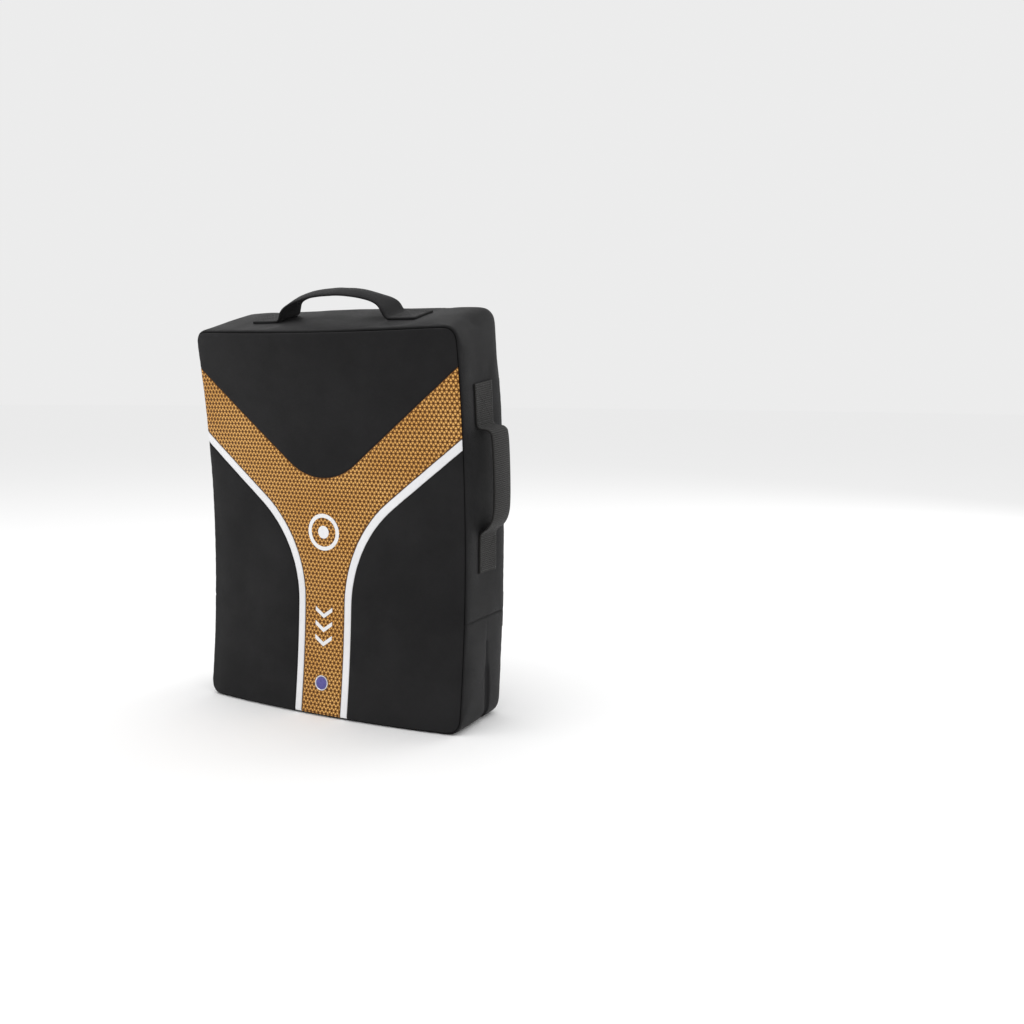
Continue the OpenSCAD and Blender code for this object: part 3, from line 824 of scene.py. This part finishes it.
# ---- foam filling
for name, node_name, near, far in (("impact_pad", "impact_foam", 5.0, 28.0), ("core_pad", "core_foam", 28.4, 92.0),
                                   ("rear_pad", "back_foam", 92.4, 114.5)):
    pad = body_block(26, 13.0 if name == "core_pad" else 8.0, near, far, 3.0, lambda z: 3.0)
    pad.data.attributes.remove(pad.data.attributes["panel"])
    settle(pad, name, FOAM)
    even_smooth(pad, 50)
    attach(pad, "shield")
    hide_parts(node_name)


# ---- cords, ribbons and stitches
def rounds(path, n):
    """a smooth line through the points of a path, at n even steps"""
    pts = [Vector(p) for p in path]
    fine = []
    for i in range(len(pts) - 1):
        p0, p1, p2, p3 = pts[max(i - 1, 0)], pts[i], pts[i + 1], pts[min(i + 2, len(pts) - 1)]
        for k in range(12):
            t = k / 12
            a = 0.5 * ((2 * p1) + (p2 - p0) * t + (2 * p0 - 5 * p1 + 4 * p2 - p3) * t * t
                       + (3 * p1 - p0 - 3 * p2 + p3) * t ** 3)
            fine.append(a)
    fine.append(pts[-1])
    total = [0.0]
    for a, b in zip(fine, fine[1:]):
        total.append(total[-1] + (b - a).length)
    out, j = [], 0
    for i in range(n + 1):
        want = total[-1] * i / n
        while j < len(total) - 2 and total[j + 1] < want:
            j += 1
        t = (want - total[j]) / max(total[j + 1] - total[j], 1e-9)
        out.append(fine[j].lerp(fine[j + 1], min(1.0, t)))
    return out, total[-1]


def ribbon(name, steps, wide, place, thick, material, edge=0.5):
    """a strap: a flat grid laid along its path, given its thickness and soft edges"""
    o = new_grid(wide, steps)
    for v in o.data.vertices:
        v.co = place((v.co.y + 1) / 2, v.co.x)
    settle(o, name, material)
    add_modifier(o, "SOLIDIFY", thickness=thick * 0.001, offset=0.0, use_even_offset=False)
    add_modifier(o, "BEVEL", width=edge * 0.001, segments=2, limit_method="ANGLE", angle_limit=math.radians(50))
    even_smooth(o, 50)
    return o


def face_out(o):
    """turn a strap's faces the right way round when its grid was laid from behind"""
    pick(o)
    bpy.ops.object.mode_set(mode="EDIT")
    bpy.ops.mesh.select_all(action="SELECT")
    bpy.ops.mesh.normals_make_consistent(inside=False)
    bpy.ops.object.mode_set(mode="OBJECT")


def tube(name, line, radius, material, sides=8, closed=False):
    """a thin round cord along a line of points"""
    bm = bmesh.new()
    rings = []
    n = len(line)
    for i, p in enumerate(line):
        a = line[(i - 1) % n] if closed or i else p
        b = line[(i + 1) % n] if closed or i < n - 1 else p
        way = (b - a).normalized()
        up = Vector((0, 0, 1)) if abs(way.z) < 0.8 else Vector((0, 1, 0))
        u = way.cross(up).normalized()
        w = way.cross(u)
        rings.append([bm.verts.new(p + (u * ca + w * sa) * radius) for ca, sa in spokes(sides)])
    loft(bm, rings, caps=not closed)
    if closed:
        last, first = rings[-1], rings[0]
        off = min(range(sides), key=lambda k: (first[k].co - last[0].co).length)
        for k in range(sides):
            bm.faces.new((last[k], last[(k + 1) % sides],
                          first[(k + 1 + off) % sides], first[(k + off) % sides]))
    return build(bm, name, material)


def stitches(name, lines, pitch=3.5, length=2.6, radius=0.36):
    """rows of thread: one short rounded bar for each stitch, laid on the surface"""
    bm = bmesh.new()
    rings = ((-0.5, 0.25, -0.45), (-0.38, 0.9, 0.0), (0.38, 0.9, 0.0), (0.5, 0.25, -0.45))
    for line in lines:
        spare = 0.0
        for (p, n), (q, _) in zip(line, line[1:]):
            way = q - p
            span = way.length
            if span < 1e-6:
                continue
            way /= span
            side = way.cross(n).normalized()
            at = spare
            while at < span:
                c = p + way * at
                loops = []
                for s, r, drop in rings:
                    base = c + way * (s * length) + n * (drop * radius + 0.1)
                    loops.append([bm.verts.new(base + (side * ca + n * sa) * (r * radius)) for ca, sa in spokes(5)])
                loft(bm, loops)
                at += pitch
            spare = at - span
    o = build(bm, name, THREAD)
    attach(o, "shield")
    return o


def box_and_cross(lay, a0, a1, b0, b1, inset=3.5):
    """the lines of a sewn box with a cross in it; lay gives a point and normal for each place"""
    a0, a1, b0, b1 = a0 + inset, a1 - inset, b0 + inset, b1 - inset

    def run(p, q):
        n = max(2, int(math.hypot(q[0] - p[0], q[1] - p[1]) / 5))
        return [lay(p[0] + (q[0] - p[0]) * i / n, p[1] + (q[1] - p[1]) * i / n) for i in range(n + 1)]

    c = [(a0, b0), (a1, b0), (a1, b1), (a0, b1)]
    lines = [run(c[i], c[(i + 1) % 4]) for i in range(4)]
    lines += [run(c[0], c[2]), run(c[1], c[3])]
    return lines


# thin cord in each outer seam, coloured near-black: painted shade of the seam groove
line, closed = outside_line(lambda p: bool(p & {0, 3, 4, 5, 6, 7}) and bool(p & {2, 8, 9}))
seam = tube("front_seam", [c - n * 0.2 for c, n in line], 0.85, SEAM_SHADE, closed=True)
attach(seam, "shield")
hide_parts("front_welt")
line, closed = outside_line(lambda p: 1 in p, lambda c: c.z < SEAM_TOP - 8)
seam = tube("rear_seam", [c - n * 0.2 for c, n in line], 0.8, SEAM_SHADE)
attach(seam, "shield")
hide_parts("back_welt")

# webbing bands across the back
for name, node_name, (z0, z1) in (("upper_webbing", "upper_band", UPPER_BAND),
                                  ("lower_webbing", "lower_band", LOWER_BAND)):
    def lay_band(s, t, z0=z0, z1=z1):
        x = (s - 0.5) * 2 * (HALF - 2.6)
        z = (z0 + z1) / 2 + t * (z1 - z0) / 2
        sag = 0.6 * noise.noise(Vector((x / 60, 0, z0)))
        zz = z + sag
        return Vector((x, back_at(max(-214.2, min(214.2, x)), zz) + 1.05, zz))

    band = ribbon(name, 96, 10, lay_band, 1.7, webbing(name + "_weave", 429.0, z1 - z0, 2.8))
    face_out(band)
    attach(band, "shield")
    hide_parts(node_name)


def strap_path(name, steps, path, base, width, thick, material=None, edge=0.5):
    """a strap whose middle line is given by distance along a surface and height over it"""
    pts, length = rounds([(h, o, 0) for h, o in path], steps)

    def place(s, t):
        k = s * steps
        i = min(int(k), steps - 1)
        p = pts[i].lerp(pts[i + 1], k - i)
        return base(p.x, p.y, t * width / 2)

    strap = ribbon(name, steps, 8, place, thick, material, edge=edge)
    if not material:
        strap.data.materials.append(webbing(name.replace("strap", "weave"), length, 50.0, 2.8))
    face_out(strap)
    return strap


# loops for the forearms
for side, word in ((-1, "left"), (1, "right")):
    node_name = "forearm_loop_" + word
    lo, hi = box_mm(node_name)
    cx = (lo.x + hi.x) / 2
    z_lo, z_hi = LOWER_BAND[1], UPPER_BAND[0]

    def forearm_base(z, o, t, cx=cx, side=side):
        lie = 1 - smooth(4, 24, o)
        y_mid = back_at(cx, z)
        y_here = back_at(cx + t, z)
        bow = 1.3 * math.sin(z / 31.0) * smooth(6, 30, o)
        cup = 0.8 * (t / 25) ** 2 * smooth(10, 34, o)
        return Vector((cx + t + bow, y_mid + (y_here - y_mid) * lie + o - cup, z))

    path = [(z_hi + down, out) for down, out in (
        (17, 0.9), (9, 0.9), (1, 1.0), (-3.0, 2.4), (-4.4, 7), (-4.8, 15), (-5.0, 25), (-6.5, 32), (-11, 36.3),
        (-20, 38.6), (-38, 40.6), (-62, 42.0), (-86, 42.2), (-108, 40.3), (-128, 36.2), (-145, 29.5),
        (-158, 21.5), (-167, 13.5), (-173, 6.8))]
    path += [(z_lo + 0.5, 2.4), (z_lo - 5, 1.0), (z_lo - 13, 0.9)]
    strap = strap_path("forearm_strap_" + word, 110, path, forearm_base, 49.5, 2.6)
    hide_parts(node_name, "forearm_feet_" + word)
    y0 = back_at(cx, 264)
    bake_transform(strap)

    def on_band(a, b, cx=cx):
        p = Vector((cx + a, back_at(cx + a, b) + 1.95, b))
        return p, Vector((0, 1, 0))

    stitches("forearm_stitches_" + word,
             box_and_cross(on_band, -25, 25, *UPPER_BAND) + box_and_cross(on_band, -25, 25, *LOWER_BAND))


# loops and tabs on the sides
def radial(z):
    lean = math.asin((z - BEND_Z) / (BEND + 60))
    mid = AXIS_Y + (BEND + 60) * math.cos(lean)
    return mid, Vector((0, math.cos(lean), math.sin(lean)))


for side, word in ((-1, "left"), (1, "right")):
    def side_base(z, o, t, side=side):
        mid, way = radial(z)
        lie = 1 - smooth(3, 16, o)
        c = Vector((0, mid - 1.4, z)) + way * t
        x_here = abs(side_at(c.y, c.z, side))
        x_mid = abs(side_at(mid - 1.4, z, side))
        x = (x_here * lie + (HALF + 0.2) * (1 - lie)) if z < 404 else x_here * lie + x_mid * (1 - lie)
        cup = 0.9 * (t / 25) ** 2 * smooth(8, 22, o)
        return Vector((side * (x + o - cup), c.y, c.z))

    path = [(472, 1.15), (455, 1.15), (436, 1.15), (420, 1.2), (414.5, 2.2), (411.8, 6), (411.2, 12), (410.2, 18),
            (406.5, 22.3), (399, 24.0), (385, 24.7), (362, 25.0), (338, 25.0), (314, 24.6), (297, 23.2),
            (285.5, 19.6), (278, 14), (273.4, 8), (269.8, 3.2), (264, 1.3), (250, 1.15), (232, 1.15), (214, 1.15)]
    strap = strap_path("side_strap_" + word, 110, path, side_base, 49.5, 2.0)
    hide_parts("side_loop_" + word, "side_feet_" + word)
    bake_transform(strap)

    def on_side(a, b, side=side):
        mid, way = radial(b)
        c = Vector((0, mid - 1.4, b)) + way * a
        return Vector((side_at(c.y, c.z, side) + side * 2.2, c.y, c.z)), Vector((side, 0, 0))

    stitches("side_stitches_" + word,
             box_and_cross(on_side, -25, 25, 416, 472) + box_and_cross(on_side, -25, 25, 214, 266))


# carry handle
axis = next(j for j in frame["joints"] if j["child"] == "carry")
CARRY = Vector(axis["pos_m"]) * 1000
TOP_N = Vector((0, -math.sin(TOP_SLOPE), math.cos(TOP_SLOPE)))
TOP_T = Vector((0, math.cos(TOP_SLOPE), math.sin(TOP_SLOPE)))


def over_top(x, t):
    """how far the cover stands over the flat of the top"""
    p = CARRY + Vector((x, 0, 0)) + TOP_T * t
    h = cast(p + TOP_N * 60, -TOP_N)
    return (h - CARRY).dot(TOP_N) if h else 0.0


def carry_base(x, o, t):
    lie = 1 - smooth(3, 18, o)
    high = over_top(x, t) * lie
    narrow = 1 - 0.3 * smooth(10, 34, o)
    t2 = t * narrow
    curl = 5.0 * (t / 25) ** 2 * smooth(14, 36, o)
    waver = 0.5 * noise.noise(Vector((x / 18, t / 14, 3)))
    return CARRY + Vector((x, 0, 0)) + TOP_T * t2 + TOP_N * (high + o - curl + waver * smooth(6, 20, o))


half_path = [(-136, 1.5), (-124, 1.5), (-110, 1.5), (-98, 1.6), (-92, 2.4), (-88, 6.0), (-85.4, 11.5), (-81.5, 17.8),
             (-75.5, 23.6), (-67, 28.6), (-56, 32.8), (-43, 36.2), (-29, 38.4), (-14, 39.5), (0, 39.8)]
path = half_path + [(-x, o) for x, o in reversed(half_path[:-1])]
handle = strap_path("carry_strap", 150, path, carry_base, 50.0, 3.4, HANDLE, edge=1.2)
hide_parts("carry_handle", "carry_feet")
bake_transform(handle)


def on_tab(a, b):
    p = CARRY + Vector((b, 0, 0)) + TOP_T * a + TOP_N * (over_top(b, a) + 3.25)
    return p, TOP_N


stitches("carry_stitches", box_and_cross(on_tab, -25, 25, -136, -95) + box_and_cross(on_tab, -25, 25, 95, 136))


# grip on the back
axis = next(j for j in frame["joints"] if j["child"] == "grip")
GRIP = Vector(axis["pos_m"]) * 1000
LEAN = math.asin((485 - BEND_Z) / (BEND + DEPTH))
GRIP_N = Vector((0, math.cos(LEAN), math.sin(LEAN)))
GRIP_U = Vector((0, -math.sin(LEAN), math.cos(LEAN)))


def grip_sleeve():
    half_run = [(-117, 4.6), (-110, 5.2), (-103, 8.0), (-97, 14.0), (-89, 21.5), (-76, 29.5), (-58, 36.6),
                (-38, 41.2), (-18, 43.4), (0, 44.0)]
    run = half_run + [(-x, o) for x, o in reversed(half_run[:-1])]
    pts, _ = rounds([(x, o, 0) for x, o in run], 108)
    pick_nothing()
    bpy.ops.mesh.primitive_cylinder_add(vertices=36, radius=1, depth=1, end_fill_type="NGON")
    o = bpy.context.object
    bm = bmesh.new()
    bm.from_mesh(o.data)
    upright = [e for e in bm.edges if abs(e.verts[0].co.z - e.verts[1].co.z) > 0.5]
    bmesh.ops.subdivide_edges(bm, edges=upright, cuts=107)
    for v in bm.verts:
        s = min(108, max(0, round((v.co.z + 0.5) * 108)))
        p = pts[s]
        way = (pts[min(s + 1, 108)] - pts[max(s - 1, 0)]).normalized()
        out = Vector((-way.y, way.x)) if way.x > 0 else Vector((way.y, -way.x))
        flat = 1 - smooth(84, 112, abs(p.x))
        thick = 3.0 + 11.2 * flat
        tall = 15.2 + 0.9 * flat
        ang = math.atan2(v.co.y, v.co.x)
        if abs(abs(v.co.z) - 0.5) < 1e-4:
            thick, tall = thick * 0.7, tall * 0.9
        cu, cn = math.cos(ang), math.sin(ang)
        round_up = abs(cu) ** 0.85 * math.copysign(1, cu)
        long = noise.noise(Vector((p.x / 7.0, ang * 1.1, 2.0))) * (1 - smooth(40, 100, abs(p.x)) * 0.2)
        short = noise.noise(Vector((p.x / 3.2, ang * 2.4, 9.0))) * smooth(70, 96, abs(p.x))
        fold = 0.45 * long + 0.35 * short
        u = round_up * (tall + fold) - 1.8 * flat
        x = p.x + (out.x * cn * (thick + fold) if flat > 0.02 else 0.0)
        n = p.y + out.y * cn * (thick + fold * flat)
        v.co = Vector((0, GRIP.y, GRIP.z)) + Vector((x, 0, 0)) + GRIP_N * (n - 0.6) + GRIP_U * u
    bmesh.ops.recalc_face_normals(bm, faces=bm.faces)
    bm.to_mesh(o.data)
    bm.free()
    settle(o, "grip_cover", HANDLE)
    even_smooth(o, 60)
    return o


sleeve = grip_sleeve()
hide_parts("grip_sleeve", "grip_core")
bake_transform(sleeve)


for side, word in ((-1, "left"), (1, "right")):
    cx = side * 110.0
    plate = new_grid(26, 46)
    for v in plate.data.vertices:
        a, b, reach = v.co.x * 17, v.co.y * 33, max(abs(v.co.x), abs(v.co.y), 0.001)
        cut = min(1.0, 40.1 * reach / (abs(a) + abs(b) + 0.001))
        v.co = (a * cut, b * cut, 0)

    def edge_gap(a, b):
        return min(17 - abs(a), 33 - abs(b), (17 + 33 - 9.9 - abs(a) - abs(b)) / math.sqrt(2))

    for v in plate.data.vertices:
        a, b = v.co.x, v.co.y
        g = edge_gap(a, b)
        crown = (2.0 * smooth(-0.2, 1.6, g) - 0.55 * math.exp(-((g - 4.2) / 0.9) ** 2)
                 - 0.45 * math.exp(-((g - 7.2) / 0.9) ** 2))
        for rb in (-21, 21):
            crown = crown if math.hypot(a - side * 6, b - rb) > 6 else 2.0
        y = skin_y(cx + a, 485 + b, DEPTH) + 0.15
        v.co = (cx + a, y + crown + 0.45, 485 + b)
    settle(plate, "grip_patch_" + word, HANDLE)
    add_modifier(plate, "SOLIDIFY", thickness=0.0006, offset=-1.0)
    face_out(plate)
    even_smooth(plate, 50)
    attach(plate, "shield")
    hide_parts("grip_plate_" + word)

    def on_patch(a, b, cx=cx):
        return Vector((cx + a, skin_y(cx + a, 485 + b, DEPTH) + 2.0, 485 + b)), Vector((0, 1, 0))

    rows = []
    for inset in (3.9, 6.9):
        k = inset * (math.sqrt(2) - 1)
        cut_x, far_x, cut_z, far_z = 7.1 - k, 17 - inset, 23.1 - k, 33 - inset
        pts = [(far_x, cut_z), (cut_x, far_z), (-cut_x, far_z), (-far_x, cut_z),
               (-far_x, -cut_z), (-cut_x, -far_z), (cut_x, -far_z), (far_x, -cut_z)]
        for (a0, b0), (a1, b1) in zip(pts, pts[1:] + pts[:1]):
            n = max(1, int(math.hypot(a1 - a0, b1 - b0) / 5))
            rows.append([on_patch(a0 + (a1 - a0) * i / n, b0 + (b1 - b0) * i / n) for i in range(n + 1)])
    stitches("grip_stitches_" + word, rows, pitch=3.0, length=2.2, radius=0.32)


# ---- marks on the face and back
def on_surface(name, shapes, closed, reader, node_name, out, lift=0.32):
    """a thin print laid on the cover, drawn as rings or rows of points"""
    bm = bmesh.new()
    for shape in shapes:
        lines = [[bm.verts.new(Vector((a, 0, b))) for a, b in row] for row in shape]
        for l0, l1 in zip(lines, lines[1:]):
            n = len(l0)
            for k in range(n if closed else n - 1):
                bm.faces.new((l0[k], l0[(k + 1) % n], l1[(k + 1) % n], l1[k]))
    if closed:
        bm.faces.new(lines[-1])
    for v in bm.verts:
        v.co.y = reader(v.co.x, v.co.z) + out * lift
    bm.normal_update()
    for f in bm.faces:
        if f.normal.y * out < 0:
            f.normal_flip()
    o = build(bm, name, PRINT, 50, mend=False)
    add_modifier(o, "SOLIDIFY", thickness=0.00035, offset=-1.0)
    even_smooth(o, 50)
    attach(o, "shield")
    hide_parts(node_name)


def ring_rows(cx, cz, radii, n=96):
    return [[(cx + r * ca, cz + r * sa) for ca, sa in spokes(n)] for r in radii]


aim = [ring_rows(0, 262, (26, 24.2, 22.3, 20.5)), ring_rows(0, 262, (9, 7, 5, 3, 1.2))]
on_surface("aim_print", aim, True, face_at, "aim_mark", -1)

chevrons = [[[(a, foot + abs(a) * 10 / 14 + up) for a in [-14 + 28 * j / 24 for j in range(25)]]
             for up in (0.0, 2.0, 4.0, 6.0)] for foot in (100, 120, 140)]
on_surface("chevron_print", chevrons, False, face_at, "chevron_marks", -1)

bars = [[[(34 * i + a + 8 * k / 6, 54 + 30 * k / 6) for a in [-15 + 24 * j / 8 for j in range(9)]]
         for k in range(7)] for i in (-1, 0, 1)]
on_surface("rear_print", bars, False, back_at, "rear_mark", 1)


def badge():
    """a small round metal badge: a rolled rim round a shallow dome with a raised star of six facets"""
    pick_nothing()
    bpy.ops.mesh.primitive_circle_add(vertices=48, radius=1, fill_type="NGON")
    o = bpy.context.object
    profile = [(11.0, 0.1), (11.0, 0.7), (10.7, 1.2), (10.1, 1.45), (9.4, 1.3), (9.0, 0.85), (8.7, 0.7),
               (7.2, 0.9), (5.4, 1.15), (3.6, 1.3), (1.8, 1.4)]
    bm = bmesh.new()
    rings = []
    for j, (r, h) in enumerate(profile):
        ring = []
        for k in range(48):
            a = k * math.tau / 48
            facet = 0.28 * max(0.0, math.cos(a * 6)) * smooth(8.4, 5.5, r) if r < 8.4 else 0.0
            ring.append(bm.verts.new(Vector((r * math.cos(a), -(h + facet), r * math.sin(a)))))
        rings.append(ring)
    for j, (r0, r1) in enumerate(zip(rings, rings[1:])):
        for k in range(48):
            f = bm.faces.new((r0[k], r0[(k + 1) % 48], r1[(k + 1) % 48], r1[k]))
            f.material_index = 0 if j < 5 else 1
    f = bm.faces.new(rings[-1])
    f.material_index = 1
    bm.faces.new(list(reversed(rings[0])))
    bmesh.ops.recalc_face_normals(bm, faces=bm.faces)
    y0 = face_at(0, 48)
    lean = math.atan2(face_at(0, 58) - face_at(0, 38), 20)
    bm.transform(Matrix.Translation((0, y0, 48)) @ Matrix.Rotation(-lean, 4, "X"))
    bm.to_mesh(o.data)
    bm.free()
    settle(o, "round_badge", None)
    which = [f.material_index for f in o.data.polygons]
    o.data.materials.clear()
    o.data.materials.append(BADGE_RIM)
    o.data.materials.append(BADGE_FACE)
    o.data.polygons.foreach_set("material_index", which)
    even_smooth(o, 35)
    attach(o, "shield")
    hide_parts("badge")


badge()


# ---- zip under the base
def zip_line(s, inset):
    """round the base from one side to the other, at an inset from the outline"""
    r = 22 - inset
    w = HALF - inset
    up, arc, flat = ZIP_TOP - 4 - 22, math.pi / 2 * r, 2 * (w - r)
    total = 2 * up + 2 * arc + flat
    d = s * total
    if d < up:
        return Vector((-w, 0, 22 + up - d)), Vector((0, 0, -1))
    d -= up
    if d < arc:
        a = d / r
        return Vector((-w + r - r * math.cos(a), 0, 22 - r * math.sin(a))), Vector((math.sin(a), 0, -math.cos(a)))
    d -= arc
    if d < flat:
        return Vector((-w + r + d, 0, inset)), Vector((1, 0, 0))
    d -= flat
    if d < arc:
        a = d / r
        return Vector((w - r + r * math.sin(a), 0, 22 - r * math.cos(a))), Vector((math.cos(a), 0, math.sin(a)))
    d -= arc
    return Vector((w, 0, 22 + d)), Vector((0, 0, 1))


ZIP_RUN = 2 * (ZIP_TOP - 26) + math.pi * 17.2 + 2 * (HALF - 22)
for word, y0, y1 in (("front", ZIP_Y - 13.5, ZIP_Y - 2.2), ("rear", ZIP_Y + 2.2, ZIP_Y + 13.5)):
    def lay_tape(s, t, y0=y0, y1=y1):
        p, _ = zip_line(s, 4.9)
        return Vector((p.x, (y0 + y1) / 2 + t * (y1 - y0) / 2, p.z))

    tape = ribbon("zip_tape_strip_" + word, 160, 4, lay_tape, 0.6, TAPE, edge=0.15)
    face_out(tape)
    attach(tape, "shield")
    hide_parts("zip_tape_" + word)


def zip_teeth():
    """two rows of nylon turns that mesh in the middle, each turn a small bent bar"""
    bm = bmesh.new()
    total = int(ZIP_RUN / 1.7)
    bend = [(-2.6, 0.0), (-1.4, 0.75), (0.2, 0.85), (0.75, 0.3)]
    for side in (-1, 1):
        for i in range(total):
            s = (i + (0.25 if side < 0 else 0.75)) / total
            p, way = zip_line(s, 4.55)
            n = Vector((way.z, 0, -way.x))
            loops = []
            for y, h in bend:
                c = Vector((p.x, ZIP_Y - side * y, p.z)) + n * (h - 0.1)
                loops.append([bm.verts.new(c + way * (0.36 * ca) + n * (0.36 * sa)) for ca, sa in spokes(4, 0.785)])
            loft(bm, loops)
    o = build(bm, "zip_teeth", COIL, 50)
    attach(o, "shield")
    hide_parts("zip_coil")


zip_teeth()

body.free()
bpy.data.objects.remove(form)

# ---- metal parts that keep their shape
for node_name, material in (("rivets", SILVER), ("rivet_washers", STEEL),
                            ("zip_slider", ZIP_METAL), ("zip_pull", ZIP_METAL)):
    o = frame["nodes"][node_name]
    for slot in o.material_slots:
        slot.material = material


# ---- studio
def studio():
    pick_nothing()
    bpy.ops.mesh.primitive_circle_add(vertices=96, radius=26, fill_type="NGON", location=(0, 0, 0))
    floor = bpy.context.object
    floor.name = "studio_floor"
    m, t, b, where = finish("pale_floor", Roughness=0.8, Specular_IOR_Level=0.0)
    n = put(t, "ShaderNodeTexNoise", {"Vector": where["Object"], "Scale": 1.5})
    t.links.new(shade(t, n.outputs[0], (0.98, 0.98, 0.98), (0.985, 0.985, 0.985)), b.inputs["Base Color"])
    floor.data.materials.append(m)
    world = bpy.data.worlds.new("studio_air")
    world.use_nodes = True
    world.node_tree.nodes["Background"].inputs[0].default_value = (1, 1, 1, 1)
    world.node_tree.nodes["Background"].inputs[1].default_value = 0.84
    bpy.context.scene.world = world

    def lamp(name, at, to, size, power):
        d = bpy.data.lights.new(name, "AREA")
        d.shape = "RECTANGLE"
        d.size, d.size_y = size
        d.energy = power
        o = bpy.data.objects.new(name, d)
        o.location = at
        o.rotation_euler = (Vector(to) - Vector(at)).to_track_quat("-Z", "Y").to_euler()
        bpy.context.collection.objects.link(o)

    lamp("over_light", (-0.3, -0.2, 2.6), (0, 0, 0.3), (2.2, 2.2), 22)
    lamp("left_light", (-2.2, -1.8, 1.5), (0, 0, 0.3), (1.4, 2.0), 8)
    lamp("rear_light", (1.4, 2.4, 1.7), (0, 0, 0.3), (1.8, 1.6), 14)


def camera():
    yaw, pitch, roll = math.radians(25.81), math.radians(6.92), math.radians(0.55)
    ahead = Vector((-math.sin(yaw) * math.cos(pitch), math.cos(yaw) * math.cos(pitch), -math.sin(pitch)))
    right = Vector((math.cos(yaw), math.sin(yaw), 0))
    up = right.cross(ahead)
    right, up = right * math.cos(roll) + up * math.sin(roll), up * math.cos(roll) - right * math.sin(roll)
    d = bpy.data.cameras.new("studio_camera")
    d.lens, d.sensor_width, d.sensor_fit = 35.15, 36.0, "HORIZONTAL"
    o = bpy.data.objects.new("studio_camera", d)
    o.matrix_world = Matrix.Translation((0.8380, -1.1915, 0.4606)) @ Matrix((right, up, -ahead)).transposed().to_4x4()
    bpy.context.collection.objects.link(o)
    bpy.context.scene.camera = o


camera()
studio()
bpy.context.scene.view_settings.view_transform = "Standard"
